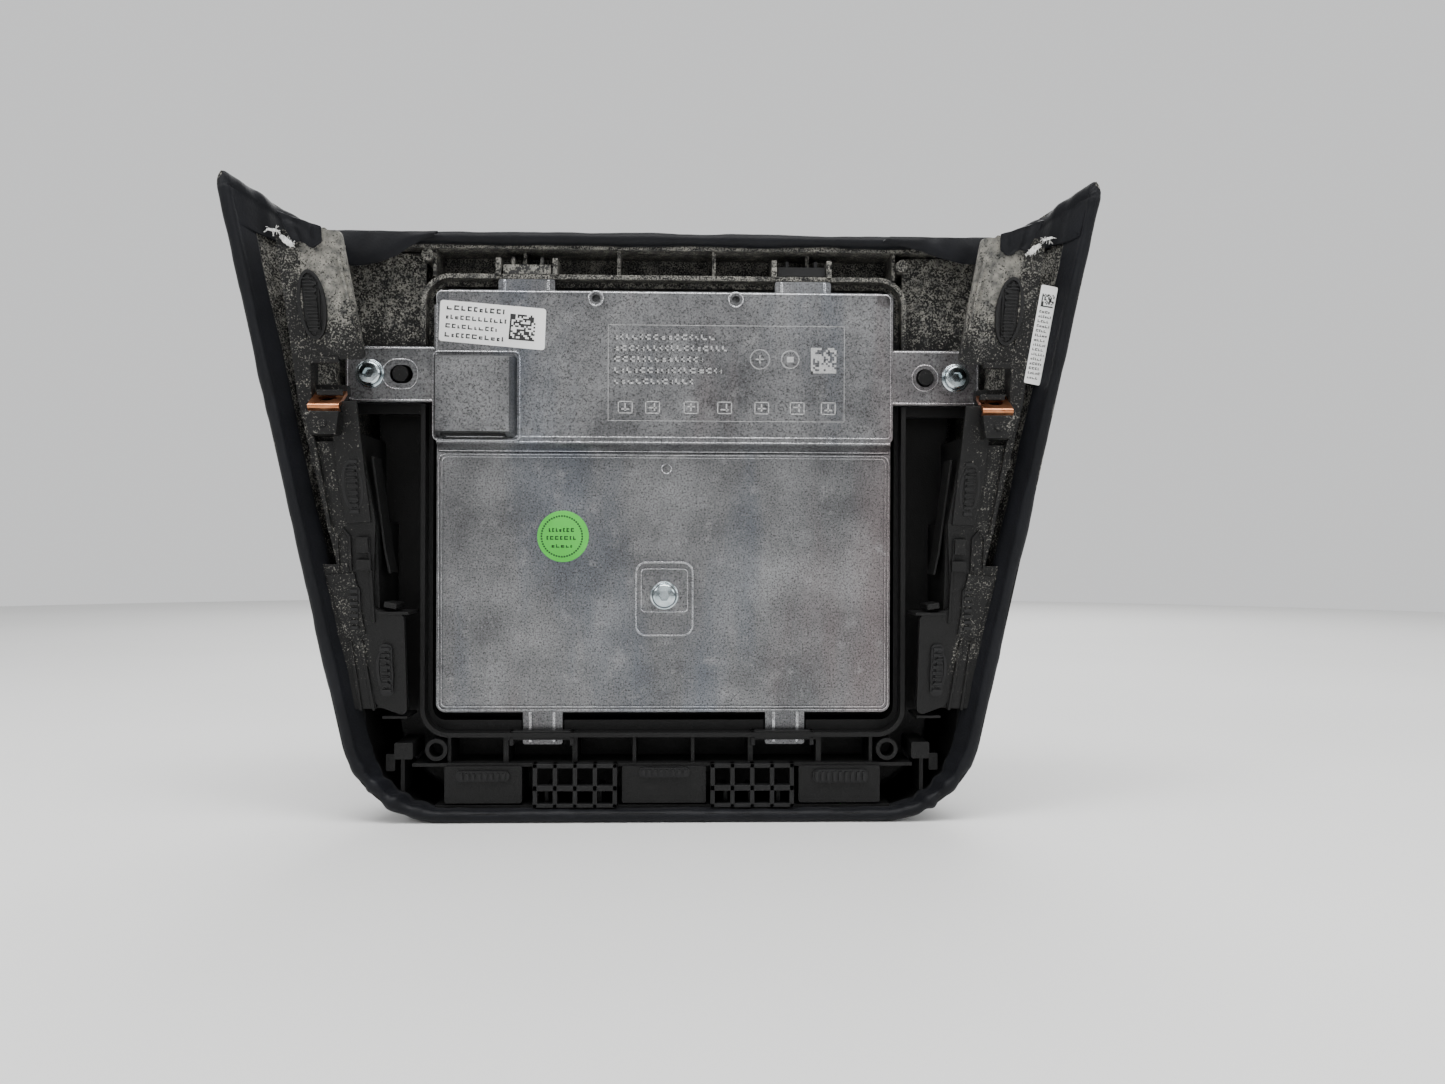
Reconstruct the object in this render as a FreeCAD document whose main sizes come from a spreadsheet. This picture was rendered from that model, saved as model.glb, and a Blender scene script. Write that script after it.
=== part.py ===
import FreeCAD, Part
import math
import os
import Sketcher

# Two-phone wireless charging dock for a car console, seen as it is fitted: the leather front
# faces +Y and the charger module, the welds and the console fixings face -Y.
# Millimetres, X to the right seen from behind, Z up, origin under the middle of the dock.

SIZES = (
    # trim tube: the leather-covered wall that flares out towards the back
    ("flare_y", -49.0, "section behind the rim where the flare is set"),
    ("waist_y", 1.0, "section where the flare begins"),
    ("crest_y", 39.8, "front of the padded lip"),
    ("flare_low", 134.2, "half width at the foot, flare section"),
    ("flare_high", 152.2, "half width at the top, flare section"),
    ("waist_low", 104.2, "half width at the foot, waist section"),
    ("waist_high", 122.2, "half width at the top, waist section"),
    ("crest_low", 101.0, "half width at the foot, front"),
    ("crest_high", 117.0, "half width at the top, front"),
    ("flare_top", 222.4, "height, flare section"),
    ("waist_top", 206.5, "height, waist section"),
    ("crest_top", 206.0, "height, front"),
    ("foot_corner", 31.0, "lower corner radius"),
    ("top_corner", 7.0, "upper corner radius"),
    ("leather_t", 1.0, "leather thickness"),
    ("wall_t", 2.4, "trim wall thickness"),
    ("rim_y", -2.0, "rim plane at the foot"),
    ("rim_angle", 8.8, "lean of the rim plane in degrees"),
    ("turn_in", 6.0, "leather turned in behind the rim"),
    # phone bay
    ("bay_half", 90.0, "half width of the phone bay"),
    ("bay_low", 13.0, "bottom of the phone bay"),
    ("bay_high", 196.0, "top of the phone bay"),
    ("bay_corner", 12.0, "corner radius of the phone bay"),
    ("bay_back", 25.6, "back edge of the bay wall"),
    # inner carrier
    ("floor_y", 22.5, "front face of the carrier floor"),
    ("floor_t", 2.5, "carrier floor thickness"),
    ("ring_half", 85.5, "outer half width of the module well"),
    ("ring_low", 29.0, "bottom of the module well"),
    ("ring_high", 192.0, "top of the module well"),
    ("ring_y", 3.0, "back edge of the module well"),
    ("ring_t", 1.6, "well wall thickness"),
    ("flange_y", 5.0, "weld flange plane at the foot"),
    ("flange_t", 2.5, "weld flange thickness"),
    ("rib_t", 1.2, "rib thickness"),
    # charger module
    ("plate_half", 80.5, "half width of the module"),
    ("plate_low", 37.5, "bottom of the module"),
    ("step_z", 133.0, "where the thick block begins"),
    ("block_high", 186.0, "top of the module"),
    ("plate_y", 6.0, "back face of the thin plate"),
    ("block_y", 1.0, "back face of the thick block"),
    ("split_y", 14.0, "housing to cover joint"),
    ("gasket_t", 0.6, "gasket thickness"),
    ("cover_y", 19.4, "front face of the cover"),
    ("ear_reach", 111.3, "ear end from the middle"),
    ("ear_low", 146.6, "ear lower edge"),
    ("ear_high", 166.0, "ear upper edge"),
    ("ear_y", 1.5, "ear back face"),
    ("ear_t", 4.0, "ear thickness"),
    ("screw_x", 102.8, "ear screw from the middle"),
    ("screw_z", 156.3, "ear screw height"),
    ("locator_x", 92.0, "ear locating hole from the middle"),
    ("centre_z", 79.0, "middle screw height"),
    ("shank_r", 2.2, "screw shank radius"),
    ("flange_r", 5.0, "screw flange radius"),
    ("dome_r", 4.4, "screw head radius"),
    # charging parts
    ("coil_x", 39.0, "coil centre from the middle"),
    ("coil_z", 88.0, "coil centre height"),
    ("coil_out", 23.0, "coil outer radius"),
    ("coil_in", 10.5, "coil inner radius"),
    # front
    ("panel_t", 2.5, "charging panel thickness"),
    ("mat_t", 2.0, "phone mat thickness"),
    ("divider_half", 3.2, "half width of the divider"),
    # console fixings
    ("nut_x", 111.5, "console fixing from the middle"),
    ("nut_y", -19.0, "console fixing depth"),
    ("nut_z", 145.0, "console fixing height"),
    ("nut_lean", 28.7, "lean of the fixing face in degrees"),
    ("nut_bore", 2.1, "thread bore radius"),
    ("nut_w", 10.2, "spring nut width"),
)


class Dim:
    """A size as a number and as the sheet text that drives it."""

    def __init__(self, value, text=None):
        self.value = float(value)
        self.text = text if text else "%.6g" % float(value)

    def __add__(self, other):
        other = dim(other)
        return Dim(self.value + other.value, "(%s + %s)" % (self.text, other.text))

    def __sub__(self, other):
        other = dim(other)
        return Dim(self.value - other.value, "(%s - %s)" % (self.text, other.text))

    def __rsub__(self, other):
        return dim(other) - self

    def __mul__(self, factor):
        return Dim(self.value * factor, "(%s * %.6g)" % (self.text, factor))

    def __neg__(self):
        return self * -1

    __radd__ = __add__
    __rmul__ = __mul__


def dim(value):
    return value if isinstance(value, Dim) else Dim(value)


doc = FreeCAD.newDocument("ChargingDock")
sheet = doc.addObject("Spreadsheet::Sheet", "Dims")
for row, (name, value, note) in enumerate(SIZES, start=1):
    sheet.set("A%d" % row, name)
    sheet.set("B%d" % row, "%g" % value)
    sheet.set("C%d" % row, note)
    sheet.setAlias("B%d" % row, name)
doc.recompute()
PARTS = []


def size(name):
    return Dim(sheet.get(name), "Dims." + name)


def mm(name):
    return float(sheet.get(name))


# ---- sketch and feature helpers -------------------------------------------------------------

def new_body(label):
    """An empty body for one piece; several solids are allowed for groups of like parts."""
    body = doc.addObject("PartDesign::Body", label)
    body.Label = label
    body.AllowCompound = True
    body.Placement = FreeCAD.Placement()
    PARTS.append(body)
    return body


def sketch_on(body, plane, offset, lean=0):
    """Sketch on one of the body's own planes, moved along its normal and leaned about X."""
    sketch = body.newObject("Sketcher::SketchObject", body.Label + "_sketch")
    support = [item for item in body.Origin.OriginFeatures if item.Role == plane][0]
    sketch.AttachmentSupport = (support, [""])
    sketch.MapMode = "FlatFace"
    offset = dim(offset)
    lean = dim(lean)
    turn = FreeCAD.Rotation(FreeCAD.Vector(1, 0, 0), lean.value)
    sketch.AttachmentOffset = FreeCAD.Placement(FreeCAD.Vector(0, 0, offset.value), turn)
    sketch.setExpression("AttachmentOffset.Base.z", offset.text)
    return sketch


def behind(body, y, lean=0):
    """Sketch in X and Z at depth y; pads grow towards the back (-Y), pockets towards +Y."""
    return sketch_on(body, "XZ_Plane", -dim(y), lean)


def drive(sketch, constraints, driven):
    """Add plain constraints and dimensions together, then tie the dimensions to the sheet."""
    first = sketch.ConstraintCount
    added = [Sketcher.Constraint(*item) for item in constraints]
    added += [Sketcher.Constraint(*item, dim(value).value) for item, value in driven]
    sketch.addConstraint(added)
    for i, (item, value) in enumerate(driven):
        text = dim(value).text
        if "Dims." in text:
            sketch.setExpression("Constraints[%d]" % (first + len(constraints) + i), text)


def corner_points(before, here, after, radius):
    """Start, middle and end of the arc that rounds one corner."""
    to_before = (before - here).normalize()
    to_after = (after - here).normalize()
    angle = math.acos(max(-1.0, min(1.0, to_before.dot(to_after))))
    reach = radius / math.tan(angle / 2)
    centre = here + (to_before + to_after).normalize() * (radius / math.sin(angle / 2))
    middle = centre + (here - centre).normalize() * radius
    return here + to_before * reach, middle, here + to_after * reach


def outline(sketch, corners):
    """Closed outline through (x, y, radius) corners, every corner dimensioned."""
    corners = [tuple(dim(item) for item in corner) for corner in corners]
    points = [FreeCAD.Vector(x.value, y.value, 0) for x, y, radius in corners]
    count = len(points)
    arcs = []
    for i, (x, y, radius) in enumerate(corners):
        if radius.value > 0:
            arcs.append(corner_points(points[i - 1], points[i], points[(i + 1) % count],
                                      radius.value))
        else:
            arcs.append((points[i], points[i], points[i]))
    segments = [Part.LineSegment(arcs[i][2], arcs[(i + 1) % count][0]) for i in range(count)]
    lines = sketch.addGeometry(segments, False)
    plain = []
    driven = []
    for i, (x, y, radius) in enumerate(corners):
        before = lines[i - 1]
        after = lines[i]
        held = (after, 1)
        if radius.value > 0:
            into = points[i] - points[i - 1]
            out = points[(i + 1) % count] - points[i]
            left_turn = into.cross(out).z > 0
            ends = (1, 2) if left_turn else (2, 1)
            bend = arcs[i] if left_turn else arcs[i][::-1]
            arc = sketch.addGeometry(Part.Arc(*bend), False)
            mark = sketch.addGeometry(Part.Point(points[i]), True)
            plain += [("Tangent", before, 2, arc, ends[0]), ("Tangent", after, 1, arc, ends[1]),
                      ("PointOnObject", mark, 1, before), ("PointOnObject", mark, 1, after)]
            driven.append((("Radius", arc), radius))
            held = (mark, 1)
        else:
            plain.append(("Coincident", before, 2, after, 1))
        driven.append((("DistanceX", -1, 1, *held), x))
        driven.append((("DistanceY", -1, 1, *held), y))
    drive(sketch, plain, driven)


def circle(sketch, x, y, radius):
    """Dimensioned circle."""
    x, y, radius = dim(x), dim(y), dim(radius)
    centre = FreeCAD.Vector(x.value, y.value, 0)
    ring = sketch.addGeometry(Part.Circle(centre, FreeCAD.Vector(0, 0, 1), radius.value), False)
    drive(sketch, [], [(("Radius", ring), radius), (("DistanceX", -1, 1, ring, 3), x),
                       (("DistanceY", -1, 1, ring, 3), y)])


def box_corners(x_low, x_high, y_low, y_high, radius=0):
    return [(x_low, y_low, radius), (x_high, y_low, radius),
            (x_high, y_high, radius), (x_low, y_high, radius)]


def both_sides(corners):
    """The corners as given and mirrored about the middle of the dock."""
    return [corners, [(-dim(x), y, radius) for x, y, radius in corners]]


def feature(body, kind, sketch, length, reverse=False):
    made = body.newObject("PartDesign::" + kind, body.Label + "_" + kind.lower())
    made.Profile = sketch
    length = dim(length)
    made.Length = length.value
    if "Dims." in length.text:
        made.setExpression("Length", length.text)
    made.Reversed = reverse
    sketch.Visibility = False
    return made


def raise_shape(body, y, length, outlines=(), circles=(), lean=0):
    """Pad outlines and circles from depth y towards the back."""
    sketch = behind(body, y, lean)
    for corners in outlines:
        outline(sketch, corners)
    for x, z, radius in circles:
        circle(sketch, x, z, radius)
    return feature(body, "Pad", sketch, length)


def cut_shape(body, y, length, outlines=(), circles=(), lean=0, reverse=False):
    """Pocket outlines and circles from depth y towards the front, or back when reversed."""
    sketch = behind(body, y, lean)
    for corners in outlines:
        outline(sketch, corners)
    for x, z, radius in circles:
        circle(sketch, x, z, radius)
    return feature(body, "Pocket", sketch, length, reverse)


def side_profile(body, kind, x_from, x_to, corners):
    """Pad or pocket a (y, z) outline between two X stations."""
    sketch = sketch_on(body, "YZ_Plane", x_from)
    outline(sketch, corners)
    length = dim(x_to) - dim(x_from)
    return feature(body, kind, sketch, length, reverse=(kind == "Pocket"))


def plan_profile(body, kind, z_from, z_to, corners):
    """Pad or pocket an (x, y) outline between two heights."""
    sketch = sketch_on(body, "XY_Plane", z_from)
    outline(sketch, corners)
    length = dim(z_to) - dim(z_from)
    return feature(body, kind, sketch, length, reverse=(kind == "Pocket"))


# ---- trim frame and leather -----------------------------------------------------------------

def tube_corners(level, inset, drop=0):
    """Trim outline at one section: straight foot, leaning sides, narrow rounded top corners."""
    low = size(level + "_low") - inset
    high = size(level + "_high") - inset
    top = size(level + "_top") - inset
    foot = size("foot_corner") - inset
    ear = size("top_corner") - inset
    return [(-low, dim(inset), foot), (low, dim(inset), foot),
            (high, top, ear), (-high, top, ear)]


def tube_loft(body, kind, inset, front):
    """Loft the trim outline from behind the rim to the front."""
    sections = []
    for level, y in (("flare", size("flare_y")), ("waist", size("waist_y")), ("crest", front)):
        sketch = behind(body, y)
        outline(sketch, tube_corners(level, inset))
        sketch.Visibility = False
        sections.append(sketch)
    loft = body.newObject("PartDesign::" + kind, body.Label + "_loft")
    loft.Profile = sections[0]
    loft.Sections = sections[1:]
    loft.Ruled = True
    return loft


def rim_cut(body, shift):
    """Remove everything behind the leaning rim plane."""
    slope = math.tan(math.radians(mm("rim_angle")))
    start = size("rim_y") + shift
    foot, top = -20.0, 240.0
    sketch = sketch_on(body, "YZ_Plane", 0)
    outline(sketch, [(start - foot * slope, foot, 0), (start - top * slope, top, 0),
                     (-110, top, 0), (-110, foot, 0)])
    cut = feature(body, "Pocket", sketch, 400)
    cut.Midplane = True
    return cut


def top_cut(body, shift):
    """Open the top wall between the two wings, which reach further back."""
    start = size("waist_y") + shift
    corners = []
    for side in (-1, 1):
        corners.append([((size("waist_high") - 3.6) * side, start, 0),
                        ((size("waist_high") + 24.0) * side, start - 46, 0),
                        ((size("waist_high") + 24.0) * side, start - 80, 0)])
    return plan_profile(body, "Pocket", 203, 240, corners[0] + corners[1][::-1])


def trim_frame():
    """Moulded wall and hollow lip that the leather is pulled over."""
    body = new_body("trim_frame")
    skin = size("leather_t")
    inner = size("leather_t") + size("wall_t")
    tube_loft(body, "AdditiveLoft", skin, size("crest_y") - skin)
    tube_loft(body, "SubtractiveLoft", inner, size("crest_y") - inner)
    bay = box_corners(-size("bay_half"), size("bay_half"), size("bay_low"), size("bay_high"),
                      size("bay_corner"))
    wall = size("wall_t")
    hole = box_corners(-(size("bay_half") - wall), size("bay_half") - wall,
                       size("bay_low") + wall, size("bay_high") - wall,
                       size("bay_corner") - wall)
    cut_shape(body, size("crest_y") - 8, 20, [hole])
    front = size("crest_y") - inner + 0.5
    raise_shape(body, front, front - size("bay_back"), [bay, hole])
    rim_cut(body, 0)
    top_cut(body, 0)
    return body


def tube_solid(inset, front):
    """The trim tube as a plain solid, for the leather that follows it."""
    wires = []
    for level, y in (("flare", mm("flare_y")), ("waist", mm("waist_y")), ("crest", front)):
        corners = tube_corners(level, inset)
        points = [FreeCAD.Vector(x.value, y, z.value) for x, z, radius in corners]
        arcs = [corner_points(points[i - 1], points[i], points[(i + 1) % 4],
                              corners[i][2].value) for i in range(4)]
        edges = []
        for i in range(4):
            edges.append(Part.Arc(*arcs[i]).toShape())
            edges.append(Part.makeLine(arcs[i][2], arcs[(i + 1) % 4][0]))
        wires.append(Part.Wire(edges))
    return Part.makeLoft(wires, True, True)


def rounded_block(half, low, high, radius, y_from, y_to):
    """Upright block with four rounded edges along Y."""
    block = Part.makeBox(2 * half, y_to - y_from, high - low, FreeCAD.Vector(-half, y_from, low))
    along = [edge for edge in block.Edges
             if abs(edge.Vertexes[0].Point.y - edge.Vertexes[-1].Point.y) > 1e-3]
    return block.makeFillet(radius, along)


def behind_rim(shift):
    """Everything behind the rim plane moved by shift."""
    slope = math.tan(math.radians(mm("rim_angle")))
    start = mm("rim_y") + shift
    points = [FreeCAD.Vector(-200, start + 20 * slope, -20),
              FreeCAD.Vector(-200, start - 240 * slope, 240),
              FreeCAD.Vector(-200, -110, 240), FreeCAD.Vector(-200, -110, -20)]
    face = Part.Face(Part.makePolygon(points + points[:1]))
    return face.extrude(FreeCAD.Vector(400, 0, 0))


def above_top_edge(shift):
    """The open space between the wings, moved by shift."""
    start = mm("waist_y") + shift
    near = mm("waist_high") - 3.6
    far = mm("waist_high") + 24.0
    steps = [(-near, 0), (-far, -46), (-far, -80), (far, -80), (far, -46), (near, 0)]
    points = [FreeCAD.Vector(x, start + y, 203) for x, y in steps]
    face = Part.Face(Part.makePolygon(points + points[:1]))
    return face.extrude(FreeCAD.Vector(0, 0, 37))


def leather_wrap():
    """One skin over the outside, the lip and the bay walls, turned in behind the rim."""
    skin = mm("leather_t")
    wall = mm("wall_t")
    core = skin + wall
    front = mm("crest_y")
    gap = 0.02
    open_back = behind_rim(-skin).fuse(above_top_edge(-skin))
    trim_back = behind_rim(-gap).fuse(above_top_edge(-gap))
    deep = Part.makeBox(400, 200, 300, FreeCAD.Vector(-200, -110, -30))
    deep = deep.cut(behind_rim(mm("turn_in")).fuse(above_top_edge(mm("turn_in"))))
    below = Part.makeBox(400, 200, 20, FreeCAD.Vector(-200, -100, -20))
    outer = tube_solid(-0.05, front).cut(below)
    inside = tube_solid(core + skin, front - core - skin)
    wall_zone = tube_solid(skin - gap, front - skin + gap).cut(trim_back)
    hollow = tube_solid(core + gap, front - core - gap).common(deep)
    shape = outer.cut(inside).cut(open_back).cut(wall_zone).cut(hollow)
    half = mm("bay_half") - wall
    low = mm("bay_low") + wall
    high = mm("bay_high") - wall
    corner = mm("bay_corner") - wall
    back = mm("bay_back")
    lining = rounded_block(half - gap, low + gap, high - gap, corner, back, front)
    bay = rounded_block(half - skin, low + skin, high - skin, corner - skin, back - 5, front + 5)
    shape = shape.fuse(lining).cut(bay).removeSplitter()
    piece = doc.addObject("Part::Feature", "leather_wrap")
    piece.Label = "leather_wrap"
    piece.Shape = shape
    piece.Placement = FreeCAD.Placement()
    PARTS.append(piece)
    return piece


# ---- inner carrier --------------------------------------------------------------------------

def carrier_floor(body):
    """Floor plate in front of the module with a window for the charging coils."""
    raise_shape(body, size("floor_y"), size("floor_t"), [
        [(-94, 8, 27), (94, 8, 27), (108.5, 202, 6), (-108.5, 202, 6)],
        box_corners(-70, 70, 48, 176, 6)])


def carrier_well(body):
    """Double wall round the module, lower inside than outside."""
    start = size("floor_y") - 1
    half = size("ring_half")
    low = size("ring_low")
    high = size("ring_high")
    wall = size("ring_t")
    outside = box_corners(-half, half, low, high, 10)
    middle = box_corners(-(half - wall), half - wall, low + wall, high - wall, 8.4)
    inside = box_corners(-(half - 3.2), half - 3.2, low + 5.3, high - 3.4, 5)
    raise_shape(body, start, start - size("ring_y"), [outside, middle])
    raise_shape(body, start, start - 9, [middle, inside])
    cut_shape(body, 7.6, 4.2, both_sides(box_corners(35.6, 50.8, 28, 36)))
    cut_shape(body, size("ring_y") - 1, 4.2, both_sides(box_corners(
        82, 87, size("ear_low") - 0.6, size("ear_high") + 0.6)))


def carrier_weld_flange(body):
    """Leaning flange along both sides where the carrier is welded to the trim."""
    lean = size("rim_angle")
    lower = [(101, 133, 2), (116.5, 133, 0.5), (116.5, 160, 0.5), (98.5, 160, 2), (105, 201.5, 2),
             (126, 201.5, 3), (121, 147, 4), (107.5, 76, 4), (99, 42, 4), (88.5, 38, 2),
             (88.5, 74, 2), (99, 76, 2), (97, 106, 2)]
    raise_shape(body, size("flange_y"), size("flange_t"), both_sides(lower), lean=lean)


def carrier_side_walls(body):
    """Walls from the floor back to the flange, with the deep hollow left beside the well."""
    slope = math.tan(math.radians(mm("rim_angle")))
    face = size("flange_y")
    floor = size("floor_y") - 1
    for near, far, low, high in ((97.0, 99.2, 40, 104.5), (101.8, 104.0, 103.5, 134),
                                 (110.4, 112.0, 168, 200)):
        profile = [(floor, low, 0), (floor, high, 0),
                   (face - high * slope - 0.5, high, 0), (face - low * slope - 0.5, low, 0)]
        side_profile(body, "Pad", near, far, profile)
        side_profile(body, "Pad", -far, -near, profile)


def carrier_decks(body):
    """Raised decks under the module ears, with screw posts and locating pins."""
    deck = [(84.8, 143, 0), (110.4, 143, 0), (113.0, 200, 0), (84.8, 200, 0)]
    raise_shape(body, 10.5, 2.5, both_sides(deck))
    for side in (-1, 1):
        raise_shape(body, size("floor_y") - 1, size("floor_y") - 1 - size("ear_y") - size("ear_t"),
                    circles=[(size("screw_x") * side, size("screw_z"), 6.0)])
        raise_shape(body, 9, 9 - size("ear_y") + 1.8,
                    circles=[(size("locator_x") * side, size("screw_z"), 2.7)])
        cut_shape(body, size("ear_y") + size("ear_t") - 1, 15,
                  circles=[(size("screw_x") * side, size("screw_z"), size("shank_r") + 0.05)])


def carrier_top_pockets(body):
    """Rail along the top edge and the ribs that divide the pockets below it."""
    start = size("floor_y") - 1
    raise_shape(body, start, start - 3, [box_corners(-103, 103, 200.9, 202.5)])
    deep = [box_corners(x - 0.6, x + 0.6, 191.5, 201.4) for x in (-50, 50.7)]
    tall = [box_corners(x - 0.6, x + 0.6, 191.5, 201.4) for x in (-81.2, -16.5, 17.2, 81.2)]
    raise_shape(body, start, start - 8.6, deep)
    raise_shape(body, start, start - 5, tall)
    raise_shape(body, start, start - 2.5, circles=[(-83.4, 198.6, 2.1), (83.8, 196.2, 2.1)])


def carrier_snap_seats(body):
    """Posts either side of the two upper snaps."""
    posts = []
    for x in (-58.5, -38.6, 38.4, 57.8):
        posts.append(box_corners(x - 0.9, x + 0.9, 191.5, 197.4))
    raise_shape(body, size("floor_y") - 1, size("floor_y") - 1 - 1.5, posts)


def carrier_bottom(body):
    """Ribs, weld pads and open grids between the well and the lower edge."""
    start = size("floor_y") - 1
    raise_shape(body, start, start - 2.4, [
        box_corners(-88, 88, 18.9, 20.1), box_corners(-80, 80, 4.2, 5.4)])
    raise_shape(body, start, start - 4.2, [
        box_corners(-76, -74.8, 19.5, 29.4), box_corners(-11, -9.8, 19.5, 29.4),
        box_corners(9.6, 10.8, 19.5, 29.4), box_corners(72.9, 74.1, 19.5, 29.4)])
    raise_shape(body, start, start - 2.2, circles=[(-79.6, 24.8, 3.85), (79, 24.8, 3.85)])
    cut_shape(body, 2.2, 8, circles=[(-79.6, 24.8, 2.5), (79, 24.8, 2.5)])
    pads = [box_corners(-76.6, -49.6, 6.2, 19.2, 0.8), box_corners(-14.6, 14.9, 6.2, 19.2, 0.8),
            box_corners(47.6, 76.4, 6.2, 19.2, 0.8)]
    raise_shape(body, start, start - 1.4, pads)


def carrier_grids(body):
    """Two grids of four by two open cells."""
    start = size("floor_y") - 1
    bars = []
    for left, stations in ((-46.2, (-41.2, -31.4, -22.6)), (16.3, (21.9, 30.5, 40.6))):
        right = left + 29.4
        bars.append(box_corners(left, right, 10.2, 11.8))
        for x in stations:
            bars.append(box_corners(x - 0.7, x + 0.7, 4.6, 10.6))
            bars.append(box_corners(x - 0.7, x + 0.7, 11.4, 19.2))
    raise_shape(body, start, start - 3.6, bars)


def carrier_slot_bars(body):
    """Bars over the two lower tongues of the module, on stepped side walls."""
    bars = []
    walls = []
    for x in (-43.5, 42.8):
        bars.append(box_corners(x - 11.4, x + 11.4, 28.0, 30.6, 0.6))
        for side in (-1, 1):
            inner = x + 11.2 * side
            outer = x + 13.0 * side
            walls.append(box_corners(min(inner, outer), max(inner, outer), 20.0, 29.5))
    raise_shape(body, 7.4, 3.6, bars)
    raise_shape(body, size("floor_y") - 1, size("floor_y") - 1 - 4.4, walls)


def nut_point(across, along):
    """Point (y, z) across and along the leaning face of the console fixing."""
    lean = math.radians(mm("nut_lean"))
    return (size("nut_y") + across * math.sin(lean) + along * math.cos(lean),
            size("nut_z") - across * math.cos(lean) + along * math.sin(lean))


def carrier_brackets(body):
    """Leaning tab through each console spring nut, its webs, and a block below it."""
    tab = [nut_point(*at) + (0,) for at in ((1.0, -4.6), (3.6, -4.6), (3.6, 12.5), (1.0, 12.5))]
    for near, far in ((107.2, 115.8), (-115.8, -107.2)):
        side_profile(body, "Pad", near, far, tab)
    raise_shape(body, -9, 4.2, both_sides(box_corners(106.8, 118, 147.2, 150.4)))
    raise_shape(body, -11.2, 6.3, both_sides(box_corners(117, 118.8, 131, 163)))
    raise_shape(body, -12, 3.5, both_sides(box_corners(101.8, 118.2, 123, 132.5, 0.5)))
    raise_shape(body, 0, 12.5, both_sides(box_corners(101.8, 110.5, 123, 132.5, 0.5)))
    lean = math.radians(mm("nut_lean"))
    foot = size("nut_y") - size("nut_z") * (1 / math.tan(lean))
    along = size("nut_z") * (1 / math.sin(lean))
    cut_shape(body, foot, 7, circles=[(size("nut_x"), along, 2.7), (-size("nut_x"), along, 2.7)],
              lean=mm("nut_lean") - 90)


def carrier_corner_blocks(body):
    """Stop blocks and gussets in the lower corners."""
    start = size("floor_y") - 1
    raise_shape(body, start, start - 0.5, [
        box_corners(-93.8, -87.4, 21.8, 27.6, 0.6), box_corners(87.4, 93.8, 21.8, 27.6, 0.6)])
    raise_shape(body, start, start - 3.5, [
        box_corners(-97.4, -94.2, 17.2, 23.2, 0.4), box_corners(94.2, 97.4, 17.2, 23.2, 0.4),
        box_corners(-92.2, -90.8, 10, 22.5), box_corners(90.8, 92.2, 10, 22.5)])


def inner_carrier():
    """Black moulding that holds the charger module and is welded into the trim."""
    body = new_body("inner_carrier")
    carrier_floor(body)
    carrier_well(body)
    carrier_decks(body)
    carrier_side_walls(body)
    carrier_weld_flange(body)
    carrier_brackets(body)
    carrier_top_pockets(body)
    carrier_snap_seats(body)
    carrier_bottom(body)
    carrier_grids(body)
    carrier_slot_bars(body)
    carrier_corner_blocks(body)
    return body


# ---- charger module -------------------------------------------------------------------------

def housing_blocks(body):
    """Thin plate, thick block with its sloped step, and the two screw ears."""
    half = size("plate_half")
    split = size("split_y")
    raise_shape(body, split, split - size("plate_y"),
                [box_corners(-half, half, size("plate_low"), size("step_z") + 1, 3.2)])
    raise_shape(body, split, split - size("block_y"),
                [box_corners(-half, half, size("step_z"), size("block_high"), 2.0)])
    side_profile(body, "Pad", -(half - 0.6), half - 0.6, [
        (size("plate_y") + 1, size("step_z") - 3.6, 0), (size("plate_y") + 1, size("step_z") + 1, 0),
        (size("block_y") + 0.8, size("step_z") + 1, 0), (size("block_y") + 0.8, size("step_z") - 0.8, 0),
        (size("plate_y"), size("step_z") - 3.6, 0)])
    ears = both_sides([(half - 2, size("ear_low"), 0), (size("ear_reach"), size("ear_low"), 2.5),
                       (size("ear_reach"), size("ear_high"), 2.5), (half - 2, size("ear_high"), 0)])
    raise_shape(body, size("ear_y") + size("ear_t"), size("ear_t"), ears)


def housing_details(body):
    """Raised border, middle screw pad, top bosses, tongues and upper tabs."""
    face = size("plate_y")
    raise_shape(body, face + 0.5, 1.0, [box_corners(-79.3, 79.3, 38.8, 128.6, 2.4),
                                        box_corners(-78.4, 78.4, 39.7, 127.8, 1.6)])
    raise_shape(body, face + 0.5, 1.6, [box_corners(-10.3, 10.3, 64.6, 91.0, 4.0)])
    raise_shape(body, face + 0.5, 2.5, [box_corners(-8.8, 8.8, 71.8, 88.4, 3.0)])
    raise_shape(body, size("split_y"), size("split_y") - size("plate_y") + 0.8, circles=[
        (-24.2, 183.2, 2.9), (24.8, 183.2, 2.9)])
    raise_shape(body, size("block_y") + 0.5, 1.1, circles=[(-24.2, 183.0, 2.6), (24.8, 183.0, 2.6)])
    raise_shape(body, 11, 2.6, both_sides(box_corners(36.2, 50.2, 25.7, 39.5, 0.8)))
    raise_shape(body, 8.5, 5.5, both_sides(box_corners(38.8, 58.6, 185, 190.2, 0.8)))


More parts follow.
